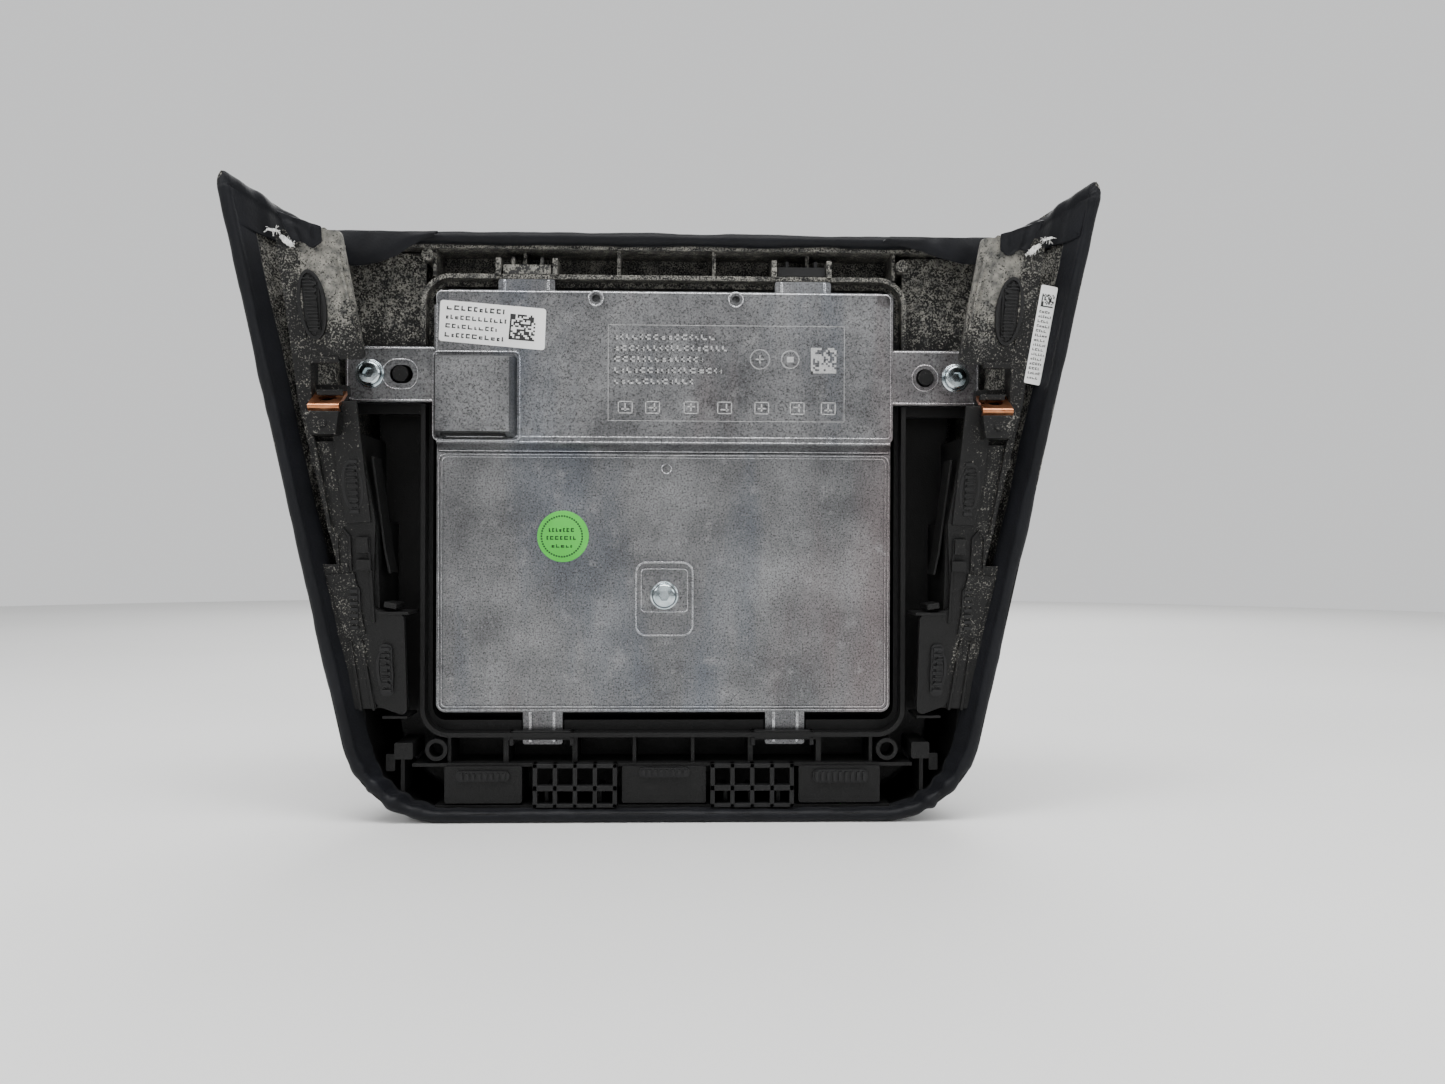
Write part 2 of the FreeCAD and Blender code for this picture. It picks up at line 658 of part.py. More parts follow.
def housing_holes(body):
    """Ear holes, hollow inside, tapped holes and corner reliefs."""
    ear = size("ear_y") - 0.5
    reach = size("ear_t") + 1
    cut_shape(body, ear, reach, circles=[
        (-size("screw_x"), size("screw_z"), 2.7), (size("screw_x"), size("screw_z"), 2.7),
        (size("locator_x"), size("screw_z"), 3.2)])
    cut_shape(body, ear, reach, [box_corners(-size("locator_x") - 4, -size("locator_x") + 4,
                                             size("screw_z") - 3.2, size("screw_z") + 3.2, 3.15)])
    cut_shape(body, size("split_y"), 6, [box_corners(-77, 77, 41, 183, 4)], reverse=True)
    cut_shape(body, size("split_y"), 10.4, [box_corners(-76, 76, 136.5, 180, 3)], reverse=True)
    cut_shape(body, size("block_y") - 1, 5, circles=[(-24.2, 183.2, 1.4), (24.8, 183.2, 1.4)])
    cut_shape(body, size("block_y") - 0.5, 4.5,
              [box_corners(-82, -75.6, 180.6, 188, 0.8)], [(77.6, 183.6, 2.6)])
    cut_shape(body, size("plate_y") - 0.5, 1.3, circles=[(0.6, 124, 1.4)])


def housing_posts(body):
    """Posts inside the hollow for the middle screw and the circuit board."""
    raise_shape(body, size("split_y") - 0.2, 6, circles=[(0, size("centre_z"), 4.2)])
    corners = [(x, z, 2.6) for x in (-69, 69) for z in (142, 175)]
    raise_shape(body, 6.4, 3.2, circles=corners)
    cut_shape(body, 2.5, 10.4, circles=[(0, size("centre_z"), size("shank_r") + 0.05)])


def housing_connector(body):
    """Drafted shroud round the downward connector mouth."""
    shroud = raise_shape(body, size("block_y") + 0.5, 8.5,
                         [box_corners(-80.4, -51.6, 134, 163.2, 1.6)])
    shroud.TaperAngle = -12
    plan_profile(body, "Pocket", 132, 149.5, [
        (-77.6, -4.6, 0.8), (-55.0, -4.6, 0.8), (-55.0, 2.4, 0.8), (-77.6, 2.4, 0.8)])


def charger_housing():
    """Die-cast back of the charger module."""
    body = new_body("charger_housing")
    housing_blocks(body)
    housing_details(body)
    housing_connector(body)
    housing_holes(body)
    housing_posts(body)
    return body


def connector_shell():
    """Plastic socket insert in the shroud, open downwards."""
    body = new_body("connector_shell")
    plan_profile(body, "Pad", 134.4, 149.3, [
        (-77.4, -4.4, 0.7), (-55.2, -4.4, 0.7), (-55.2, 2.2, 0.7), (-77.4, 2.2, 0.7)])
    plan_profile(body, "Pocket", 134.4, 145.4, [
        (-76.2, -3.2, 0), (-56.4, -3.2, 0), (-56.4, 1.0, 0), (-76.2, 1.0, 0)])
    return body


def connector_pins():
    """Row of six contacts standing in the socket."""
    body = new_body("connector_pins")
    for i in range(6):
        x = -73.8 + 3.0 * i
        plan_profile(body, "Pad", 137.2, 145.4, [
            (x - 0.4, -1.5, 0), (x + 0.4, -1.5, 0), (x + 0.4, -0.7, 0), (x - 0.4, -0.7, 0)])
    return body


def charger_cover():
    """Plastic front of the module, facing the phones."""
    body = new_body("charger_cover")
    half = size("plate_half")
    back = size("split_y") + size("gasket_t")
    raise_shape(body, size("cover_y"), size("cover_y") - back,
                [box_corners(-half, half, size("plate_low"), size("block_high"), 3.2)])
    cut_shape(body, back, 3, [box_corners(-77, 77, 41, 183, 3)])
    return body


def cover_gasket():
    """Thin seal between housing and cover."""
    body = new_body("cover_gasket")
    raise_shape(body, size("split_y") + size("gasket_t"), size("gasket_t"), [
        box_corners(-79.8, 79.8, 38.2, 185.2, 2.6), box_corners(-77.6, 77.6, 40.4, 183.4, 2)])
    return body


def coil_tray():
    """Plastic tray that spaces the ferrites off the housing."""
    body = new_body("coil_tray")
    raise_shape(body, 9.6, 1.5, [box_corners(-74, 74, 43, 131, 2)], [(0, size("centre_z"), 5)])
    return body


def ferrite(label, side):
    """Ferrite sheet behind one coil."""
    body = new_body(label)
    x = size("coil_x") * side
    raise_shape(body, 12.2, 2.5, [box_corners(x - 30, x + 30, 54, 122, 3)])
    return body


def coil(label, side):
    """Flat copper coil in front of its ferrite."""
    body = new_body(label)
    x = size("coil_x") * side
    raise_shape(body, 13.9, 1.6, circles=[(x, size("coil_z"), size("coil_out")),
                                          (x, size("coil_z"), size("coil_in"))])
    return body


def circuit_board():
    """Control board in the thick block."""
    body = new_body("circuit_board")
    raise_shape(body, 8.1, 1.6, [box_corners(-73, 73, 138, 178.6, 1.5)])
    return body


def thermal_pad():
    """Soft pad that takes the heat of the board to the housing."""
    body = new_body("thermal_pad")
    raise_shape(body, 6.4, 2.7, [box_corners(-30, 34, 146, 172, 1)])
    return body


def screw_outline(seat, reach):
    """Half section of a flanged pan-head screw whose flange sits at -Y distance seat."""
    shank = size("shank_r")
    head = size("dome_r")
    flange = size("flange_r")
    return [(0, seat - reach, 0), (shank, seat - reach, 0.5), (shank, seat, 0),
            (flange, seat, 0), (flange, seat + 0.9, 0.3), (head, seat + 1.1, 0.2),
            (head - 0.2, seat + 2.9, 1.2), (0, seat + 3.4, 0)]


def screw_at(body, x, z, back, reach):
    """Flanged screw with a six-lobe style socket in its head, driven from behind."""
    seat = -dim(back)
    sketch = sketch_on(body, "XY_Plane", z)
    outline(sketch, [(dim(x) + radius, -dim(level), bend)
                     for radius, level, bend in screw_outline(seat, reach)])
    axis = sketch.addGeometry(Part.LineSegment(
        FreeCAD.Vector(dim(x).value, -60, 0), FreeCAD.Vector(dim(x).value, 60, 0)), True)
    drive(sketch, [("Vertical", axis)], [(("DistanceX", -1, 1, axis, 1), x),
                                         (("DistanceY", -1, 1, axis, 1), -60),
                                         (("DistanceY", -1, 1, axis, 2), 60)])
    made = body.newObject("PartDesign::Revolution", body.Label + "_turned")
    made.Profile = sketch
    made.ReferenceAxis = (sketch, ["Axis0"])
    made.Angle = 360
    sketch.Visibility = False
    lobes = []
    for i in range(6):
        angle = math.radians(60 * i)
        radius = 1.9
        lobes.append((dim(x) + radius * math.cos(angle), dim(z) + radius * math.sin(angle), 0))
    cut_shape(body, dim(back) - 5, 3.4, [lobes])


def ear_screws():
    """The two screws through the module ears."""
    body = new_body("ear_screws")
    for side in (-1, 1):
        screw_at(body, size("screw_x") * side, size("screw_z"), size("ear_y"), 13)
    return body


def centre_screw():
    """The screw in the middle pad of the module."""
    body = new_body("centre_screw")
    screw_at(body, 0, size("centre_z"), size("plate_y") - 2, 8.4)
    return body


# ---- welds, fixings and labels --------------------------------------------------------------

def stake_outlines(stakes, lean):
    """Oblong outlines (x, z, width, height) and the ribs across them, on a leaning plane."""
    stretch = 1 / math.cos(math.radians(lean))
    bases = []
    ribs = []
    for x, z, width, height in stakes:
        along = z * stretch
        bases.append(box_corners(x - width / 2, x + width / 2, along - height / 2,
                                 along + height / 2, min(width, height) * 0.42))
        steps = int(max(width, height) / 2.1)
        for i in range(steps):
            shift = (i - (steps - 1) / 2) * 2.1
            if height > width:
                ribs.append(box_corners(x - width / 2 + 0.7, x + width / 2 - 0.7,
                                        along + shift - 0.55, along + shift + 0.55))
            else:
                ribs.append(box_corners(x + shift - 0.55, x + shift + 0.55,
                                        along - height / 2 + 0.7, along + height / 2 - 0.7))
    return bases, ribs


def weld_stakes():
    """Ribbed stakes left where the trim was welded to the carrier."""
    body = new_body("weld_stakes")
    lean = mm("rim_angle")
    cosine = math.cos(math.radians(lean))
    side_stakes = [(-113.8, 174.5, 3.2, 18), (-103.4, 116.2, 4.2, 20), (-104.8, 74.8, 4.0, 16),
                   (-94.9, 53.8, 4.4, 18.4)]
    side_stakes += [(-x, z, width, height) for x, z, width, height in side_stakes]
    face = size("flange_y") - (size("flange_t") + 0.05) * (1 / cosine)
    bases, ribs = stake_outlines(side_stakes, lean)
    raise_shape(body, face, 0.9, bases, lean=lean)
    raise_shape(body, face - 0.8, 0.8, ribs, lean=lean)
    bases, ribs = stake_outlines([(-63.2, 15.8, 18.6, 3.6), (0.2, 17.0, 17.6, 3.4),
                                  (62.3, 15.6, 19.6, 4.6)], 0)
    raise_shape(body, 1.35, 0.9, bases)
    raise_shape(body, 0.55, 0.8, ribs)
    return body


def nut_clip(label, side):
    """Folded spring nut with a threaded barrel, slid over the bracket tab."""
    body = new_body(label)
    x = size("nut_x") * side
    half = size("nut_w") * 0.5
    profile = [(-0.6, 5.6, 0), (0.8, 5.6, 0), (0.8, -4.8, 0), (3.8, -4.8, 0), (3.8, 4.4, 0),
               (5.0, 4.4, 0), (5.0, -6.2, 1.2), (-0.6, -6.2, 1.2)]
    side_profile(body, "Pad", x - half, x + half, profile)
    raise_shape(body, 9.0, 4.4, circles=[(x, 0, 3.6)])
    cut_shape(body, 2, 9, circles=[(x, 0, size("nut_bore"))])
    cut_shape(body, -2, 3.5, circles=[(x, 0, size("nut_bore") + 0.7)])
    body.Placement = FreeCAD.Placement(
        FreeCAD.Vector(0, mm("nut_y"), mm("nut_z")),
        FreeCAD.Rotation(FreeCAD.Vector(1, 0, 0), -(90 - mm("nut_lean"))))
    return body


def snap(label, x, reach):
    """Short hooked snap above one upper tab of the module."""
    body = new_body(label)
    raise_shape(body, 7.6, 4.4, [
        [(x - 8.4, 192.2, 0.5), (x + 8.4, 192.2, 0.5), (x + 8.4, 195.4, 0.6), (x - 8.4, 195.4, 0.6)]])
    raise_shape(body, 7.2, 3.2, [box_corners(x - 5.6, x - 4.5, 194.9, reach),
                                 box_corners(x + 4.5, x + 5.6, 194.9, reach)])
    return body


def label_sheet(label, y, corners):
    """Thin label stuck on a flat face."""
    body = new_body(label)
    raise_shape(body, y, 0.15, [corners])
    return body


def part_label():
    """Paper label on the thick block."""
    return label_sheet("part_label", size("block_y"), [
        (-78.4, 182.3, 1), (-41.6, 179.4, 1), (-42.2, 164.9, 1), (-79.0, 168.0, 1)])


def check_sticker():
    """Round inspection sticker on the thin plate."""
    body = new_body("check_sticker")
    raise_shape(body, size("plate_y"), 0.12, circles=[(-36.0, 99.8, 9.1)])
    return body


def wing_label():
    """Narrow slanted label from the upper flange towards the wing, at the right seen from behind."""
    body = new_body("wing_label")
    stretch = 1 / math.cos(math.radians(mm("rim_angle")))
    face = size("flange_y") - (size("flange_t") + 0.05) * stretch
    raise_shape(body, face, 0.15, [[(125.4, 184.0 * stretch, 0.6), (130.9, 183.0 * stretch, 0.6),
                                    (126.3, 151.0 * stretch, 0.6), (120.9, 152.0 * stretch, 0.6)]],
                lean=mm("rim_angle"))
    return body


# ---- front ----------------------------------------------------------------------------------

def charging_panel():
    """Rigid panel that closes the phone bay, staked to the carrier floor."""
    body = new_body("charging_panel")
    back = size("floor_y") + 0.1
    half = size("bay_half") - size("wall_t") - 1.4
    low = size("bay_low") + 3.8
    high = size("bay_high") - 3.8
    raise_shape(body, back + size("panel_t"), size("panel_t"),
                [box_corners(-half, half, low, high, 8)])
    return body


def phone_mat(label, side):
    """Soft mat with grip ribs under one phone."""
    body = new_body(label)
    back = size("floor_y") + 0.15 + size("panel_t")
    low, high = (5.2, 84.4) if side > 0 else (-84.4, -5.2)
    raise_shape(body, back + size("mat_t"), size("mat_t"), [box_corners(low, high, 30, 190, 5)])
    ribs = []
    middle = (low + high) / 2
    for i in range(5):
        z = 52 + 22 * i
        ribs.append(box_corners(middle - 22, middle + 22, z, z + 3, 1.2))
    raise_shape(body, back + size("mat_t") + 0.6, 0.8, ribs)
    return body


def centre_divider():
    """Raised rib between the two phones."""
    body = new_body("centre_divider")
    half = size("divider_half")
    back = size("floor_y") + 0.15 + size("panel_t")
    plan_profile(body, "Pad", 28.5, 188, [
        (-half, back, 0), (half, back, 0), (half - 0.6, back + 11, 2.0),
        (-(half - 0.6), back + 11, 2.0)])
    return body


def phone_ledge():
    """Rubber ledge the phones stand on."""
    body = new_body("phone_ledge")
    back = size("floor_y") + 0.15 + size("panel_t")
    side_profile(body, "Pad", -82, 82, [
        (back, 17.4, 0), (back + 11.6, 17.4, 1.5), (back + 11.6, 22.0, 1.2),
        (back + 9, 24.6, 2), (back, 26.4, 0)])
    return body


# ---- build, check and export ----------------------------------------------------------------

def build():
    trim_frame()
    leather_wrap()
    inner_carrier()
    charger_housing()
    connector_shell()
    connector_pins()
    charger_cover()
    cover_gasket()
    coil_tray()
    for name, side in (("left", -1), ("right", 1)):
        ferrite("ferrite_" + name, side)
        coil("coil_" + name, side)
        phone_mat("phone_mat_" + name, side)
        nut_clip("nut_clip_" + name, side)
    circuit_board()
    thermal_pad()
    ear_screws()
    centre_screw()
    weld_stakes()
    snap("snap_left", -48.6, 198.2)
    snap("snap_right", 48.2, 197.6)
    part_label()
    check_sticker()
    wing_label()
    charging_panel()
    centre_divider()
    phone_ledge()


def check_all():
    """Stop if any object failed or any shape is empty or broken."""
    for item in doc.Objects:
        if "Invalid" in item.State or "Error" in item.State:
            raise RuntimeError("%s is %s" % (item.Name, item.State))
    for piece in PARTS:
        if piece.Shape.isNull() or not piece.Shape.isValid() or not piece.Shape.Solids:
            raise RuntimeError("%s has no sound solid" % piece.Label)


build()
doc.recompute()
check_all()
os.makedirs("parts", exist_ok=True)
for piece in PARTS:
    piece.Shape.exportStep("parts/%s.step" % piece.Label)
print("exported", len(PARTS), "pieces")
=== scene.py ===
import math
import random

import bmesh
import bpy
from mathutils import Matrix, Vector, noise


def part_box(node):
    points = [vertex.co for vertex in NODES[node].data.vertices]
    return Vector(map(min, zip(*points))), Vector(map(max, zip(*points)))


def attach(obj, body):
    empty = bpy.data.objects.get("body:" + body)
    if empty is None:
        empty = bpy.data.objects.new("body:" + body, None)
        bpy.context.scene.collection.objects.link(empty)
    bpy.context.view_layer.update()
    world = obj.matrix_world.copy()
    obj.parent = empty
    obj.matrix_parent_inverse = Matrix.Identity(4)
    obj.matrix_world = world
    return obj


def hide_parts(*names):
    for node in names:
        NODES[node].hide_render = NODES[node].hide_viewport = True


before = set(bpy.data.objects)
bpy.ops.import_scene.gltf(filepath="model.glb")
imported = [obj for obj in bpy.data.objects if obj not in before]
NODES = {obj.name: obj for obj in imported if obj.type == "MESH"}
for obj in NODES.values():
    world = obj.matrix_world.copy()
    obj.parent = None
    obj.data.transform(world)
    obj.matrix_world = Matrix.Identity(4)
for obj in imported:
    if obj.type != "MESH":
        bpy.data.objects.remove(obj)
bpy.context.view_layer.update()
MM = 0.001

# Trim outline at three depths, as in the CAD part: half widths at foot and top, height, depth.
LEVELS = (
    {"y": -49.0, "low": 134.2, "high": 152.2, "top": 222.4},
    {"y": 1.0, "low": 104.2, "high": 122.2, "top": 206.5},
    {"y": 39.8, "low": 101.0, "high": 117.0, "top": 206.0},
)
FOOT_CORNER = 31.0
TOP_CORNER = 7.0
RIM_Y = -2.0
RIM_SLOPE = math.tan(math.radians(8.8))
BAY = {"half": 86.6, "low": 16.4, "high": 192.6, "corner": 8.6, "back": 25.6}
FLANGE_Y = 5.0
FLANGE_T = 2.5


# ---- node helpers ----

class Shader:
    """A new material, or the world, with short calls for adding nodes."""

    def __init__(self, name, kind="materials"):
        self.owner = getattr(bpy.data, kind).new(name)
        self.owner.use_nodes = True
        self.tree = self.owner.node_tree
        self.coords = self.tree.nodes.new("ShaderNodeTexCoord").outputs
        self.place = self.coords["Object"]

    def add(self, kind, props=None, **inputs):
        """New node. Its inputs are given by name, or as i0, i1 and so on."""
        made = self.tree.nodes.new("ShaderNode" + kind)
        for key, value in (props or {}).items():
            setattr(made, key, value)
        for key, value in inputs.items():
            self.put(made, int(key[1:]) if key[1:].isdigit() else key, value)
        return made

    def put(self, made, key, value):
        """Link a socket into an input, or set the input's own value."""
        socket = made.inputs[key]
        if isinstance(value, bpy.types.NodeSocket):
            self.tree.links.new(value, socket)
        else:
            socket.default_value = value

    def noise(self, scale, detail=3.0, rough=0.5, stretch=None):
        place = self.place
        if stretch:
            place = self.add("Mapping", i0=self.place, i3=stretch).outputs[0]
        return self.add("TexNoise", Vector=place, Scale=scale, Detail=detail,
                        Roughness=rough).outputs["Fac"]

    def cells(self, scale, feature="F1"):
        return self.add("TexVoronoi", {"feature": feature}, Vector=self.place,
                        Scale=scale).outputs["Distance"]

    def math(self, kind, a, b=0.0):
        return self.add("Math", {"operation": kind}, i0=a, i1=b).outputs[0]

    def ramp(self, value, low=0.3, high=0.7, out_low=0.0, out_high=1.0):
        """Map a range of values to another and hold it there; noise mostly lies in 0.3 to 0.7."""
        return self.add("MapRange", {"clamp": True}, i0=value, i1=low, i2=high,
                        i3=out_low, i4=out_high).outputs[0]

    def mix(self, factor, a, b):
        return self.add("Mix", {"data_type": "RGBA"}, i0=factor, i6=a, i7=b).outputs[2]

    def axis(self, index):
        return self.add("SeparateXYZ", i0=self.place).outputs[index]

    def bump(self, height, strength, distance, base=None):
        made = self.add("Bump", Strength=strength, Distance=distance, Height=height)
        if base is not None:
            self.put(made, "Normal", base)
        return made.outputs[0]

    def finish(self, color, rough, normal, **constants):
        bsdf = self.tree.nodes["Principled BSDF"]
        self.put(bsdf, "Base Color", color)
        self.put(bsdf, "Roughness", rough)
        self.put(bsdf, "Normal", normal)
        for key, value in constants.items():
            bsdf.inputs[key.replace("_", " ")].default_value = value
        return self.owner


def rgb(value, g=None, b=None):
    return (value, value if g is None else g, value if b is None else b, 1.0)


# ---- materials ----

def plastic(name, shade, grain=0.35, rough=(0.42, 0.6)):
    """Moulded plastic: fine texture and slight mottling."""
    look = Shader(name)
    fine = look.noise(2600, 2)
    cloud = look.ramp(look.noise(60, 4))
    tone = look.mix(cloud, rgb(shade * 0.75), rgb(shade * 1.35, shade * 1.37, shade * 1.45))
    return look.finish(tone, look.ramp(cloud, 0, 1, *rough), look.bump(fine, grain, 0.00012),
                       Specular_IOR_Level=0.3)


def speckled(name, shade, density):
    """Black plastic under sprayed adhesive: pale grains, thinner where density falls."""
    look = Shader(name)
    thick = density(look)
    grain = look.noise(1700, 2.5, 0.65)
    coarse = look.noise(230, 3, 0.55)
    mixed = look.math("ADD", look.math("MULTIPLY", grain, 0.78), look.math("MULTIPLY", coarse, 0.22))
    edge = look.math("SUBTRACT", 0.74, look.math("MULTIPLY", thick, 0.36))
    mask = look.ramp(look.math("SUBTRACT", mixed, edge), -0.025, 0.05)
    film = look.ramp(look.math("MULTIPLY", thick, look.ramp(coarse)), 0.3, 1.0, 0.0, 0.30)
    cover = look.math("MAXIMUM", mask, film)
    pale = look.mix(look.ramp(look.noise(420, 2)), rgb(0.085, 0.085, 0.08), rgb(0.27, 0.26, 0.23))
    color = look.mix(cover, rgb(shade), pale)
    rough = look.ramp(cover, 0, 1, 0.5, 0.88)
    return look.finish(color, rough, look.bump(mixed, 0.55, 0.00035), Specular_IOR_Level=0.25)


def wall_density(look):
    """Heavy at the top of the side walls, none near the foot."""
    height = look.axis(2)
    climb = look.ramp(height, 0.035, 0.11, 0.0, 0.62)
    return look.math("MULTIPLY", climb, look.ramp(height, 0.05, 0.20, 0.85, 1.1))


def patchy_density(look):
    """Uneven all over."""
    return look.ramp(look.noise(300, 2), 0.3, 0.7, 0.2, 1.0)


def carrier_density(look):
    """Heavy on the upper decks, thinner outboard, sparse in the deep hollows, none at the foot."""
    height = look.axis(2)
    depth = look.axis(1)
    outward = look.math("ABSOLUTE", look.axis(0))
    upper = look.ramp(height, 0.143, 0.180, 0.0, 0.92)
    thinner = look.ramp(depth, -0.012, 0.004, 1.0, 0.74)
    near_wall = look.ramp(outward, 0.1170, 0.1195, 1.0, 0.58)
    top = look.math("MULTIPLY", look.math("MULTIPLY", upper, thinner), near_wall)
    middle = look.ramp(height, 0.055, 0.125, 0.0, 0.30)
    shallow = look.ramp(depth, -0.012, 0.002, 1.0, 0.36)
    deep = look.math("MULTIPLY", middle, shallow)
    leaning = look.math("ADD", outward, look.math("MULTIPLY", look.math("SUBTRACT", 0.110, height), 0.155))
    strip = look.ramp(leaning, 0.1065, 0.1085, 0.0, 0.44)
    strip = look.math("MULTIPLY", strip, look.ramp(height, 0.036, 0.06))
    return look.math("MAXIMUM", look.math("MAXIMUM", top, deep), strip)


def leather():
    """Soft black leather: pebbled grain, creases, paler worn ridges."""
    look = Shader("leather")
    pebble = look.cells(1150)
    fine = look.noise(3200, 2)
    crease = look.noise(26, 5, 0.6)
    worn = look.ramp(look.noise(75, 3), 0.42, 0.75)
    tone = look.mix(worn, rgb(0.0028, 0.0032, 0.0048), rgb(0.0055, 0.0060, 0.0085))
    grain = look.bump(pebble, 0.28, 0.00018)
    detail = look.bump(fine, 0.15, 0.0001, grain)
    folds = look.bump(crease, 0.25, 0.0018, detail)
    return look.finish(tone, look.ramp(worn, 0, 1, 0.54, 0.49), folds, Specular_IOR_Level=0.20,
                       Sheen_Weight=0.05, Sheen_Roughness=0.45)


def cast_metal(name, low, high, rough):
    """Blasted die casting: dark grains, cloudy greys, upright flow marks, faint warm stains and painted
    glints, bright specks of painted highlight in the colour.
    """
    look = Shader(name)
    grains = look.noise(1650, 4, 0.74)
    patches = look.noise(150, 4, 0.65)
    cloud = look.noise(30, 5, 0.62)
    flow = look.noise(22, 4, 0.6, (1.0, 1.0, 0.2))
    dull = rgb(low, low * 1.01, low * 1.05)
    clear = rgb(high, high * 1.01, high * 1.03)
    tone = look.mix(look.ramp(cloud, 0.36, 0.66), dull, clear)
    warm = look.ramp(flow, 0.54, 0.68, 0.0, 0.55)
    tone = look.mix(warm, tone, rgb(low * 1.45, low * 1.15, low * 1.15))
    cool = look.ramp(flow, 0.34, 0.46, 0.5, 0.0)
    tone = look.mix(cool, tone, rgb(low * 0.95, low * 1.1, low * 1.35))
    pale = look.ramp(patches, 0.56, 0.74, 0.0, 0.45)
    tone = look.mix(pale, tone, rgb(high * 1.35))
    dark = look.ramp(grains, 0.50, 0.62, 0.0, 0.86)
    color = look.mix(dark, tone, rgb(low * 0.3))
    # Painted highlight: bright specks painted into the colour as glints on the grains.
    painted_glint = look.ramp(grains, 0.30, 0.40, 0.55, 0.0)
    color = look.mix(painted_glint, color, rgb(high * 1.7))
    relief = look.bump(grains, 0.30, 0.00022)
    waves = look.bump(patches, 0.12, 0.0006, relief)
    return look.finish(color, look.ramp(cloud, 0.3, 0.7, *rough), waves, Metallic=0.92)


def plated(name, low, high, rough=(0.2, 0.34), stain=0.25):
    """Plated metal: bright, lightly stained, with rubbed lines."""
    look = Shader(name)
    cloud = look.noise(240, 4, 0.6)
    lines = look.noise(900, 2, 0.5, (1.0, 1.0, 0.12))
    tone = look.mix(look.ramp(cloud, 0.35, 0.7), low, high)
    dull = look.math("MULTIPLY", look.ramp(look.noise(500, 3), 0.55, 0.75), stain)
    color = look.mix(dull, tone, rgb(0.12))
    relief = look.bump(lines, 0.12, 0.0001)
    return look.finish(color, look.ramp(cloud, 0.3, 0.7, *rough), relief, Metallic=1.0)


def paper(name, low, high):
    """Coated label paper: slight fibre, faint smudges."""
    look = Shader(name)
    fibre = look.noise(2200, 3, 0.6)
    smudge = look.ramp(look.noise(140, 3), 0.62, 0.8, 0.0, 0.14)
    tone = look.mix(look.ramp(look.noise(60, 3)), low, high)
    return look.finish(look.mix(smudge, tone, rgb(0.30, 0.28, 0.24)), 0.42, look.bump(fibre, 0.08, 0.00008))


def print_ink(name, shade, rough=0.55):
    """Ink or laser marking: patchy and slightly worn."""
    look = Shader(name)
    patch = look.ramp(look.noise(1800, 2), 0.35, 0.65)
    return look.finish(look.mix(patch, rgb(shade), rgb(shade * 1.25)), rough, look.bump(patch, 0.05, 0.00005))


def rubber(name, shade):
    """Soft-touch rubber: dusty and finely pebbled."""
    look = Shader(name)
    pebble = look.noise(1900, 3, 0.55)
    dust = look.ramp(look.noise(90, 4), 0.45, 0.8)
    tone = look.mix(dust, rgb(shade), rgb(shade * 1.9))
    return look.finish(tone, look.ramp(dust, 0, 1, 0.72, 0.86), look.bump(pebble, 0.3, 0.00015),
                       Sheen_Weight=0.15, Sheen_Roughness=0.5)


def fleece():
    """Torn white backing cloth: loose fibres."""
    look = Shader("fleece")
    fibre = look.noise(1700, 4, 0.7, (1.0, 1.0, 0.25))
    tone = look.mix(look.ramp(fibre, 0.35, 0.65), rgb(0.42, 0.42, 0.40), rgb(0.86, 0.86, 0.84))
    return look.finish(tone, 0.9, look.bump(fibre, 0.6, 0.0003), Sheen_Weight=0.3, Sheen_Roughness=0.6)


def wound_copper():
    """Enamelled wire wound round the coil axis."""
    look = Shader("copper")
    halves = []
    for centre in (-0.039, 0.039):
        moved = look.add("VectorMath", {"operation": "SUBTRACT"}, i0=look.place,
                         i1=(centre, 0.0, 0.088)).outputs[0]
        flat = look.add("VectorMath", {"operation": "MULTIPLY"}, i0=moved,
                        i1=(1.0, 0.0, 1.0)).outputs[0]
        halves.append(look.add("VectorMath", {"operation": "LENGTH"}, i0=flat).outputs["Value"])
    radius = look.math("MINIMUM", halves[0], halves[1])
    turns = look.math("SINE", look.math("MULTIPLY", radius, 6800.0))
    tone = look.mix(look.ramp(turns, -1, 1), rgb(0.25, 0.09, 0.03), rgb(0.78, 0.36, 0.16))
    return look.finish(tone, 0.32, look.bump(turns, 0.5, 0.0003), Metallic=0.85)


def board():
    """Green solder mask with tracks."""
    look = Shader("board")
    tracks = look.add("TexBrick", Vector=look.place, Scale=120.0).outputs["Fac"]
    tone = look.mix(tracks, rgb(0.015, 0.09, 0.04), rgb(0.04, 0.2, 0.09))
    return look.finish(tone, 0.35, look.bump(tracks, 0.2, 0.0001))


def ceramic():
    """Sintered ferrite: dark, fine crackle."""
    look = Shader("ferrite")
    crackle = look.ramp(look.cells(220, "DISTANCE_TO_EDGE"), 0.0, 0.04)
    tone = look.mix(crackle, rgb(0.02), rgb(0.075, 0.075, 0.08))
    return look.finish(tone, 0.45, look.bump(crackle, 0.2, 0.0001))


MATERIAL_OF = {}


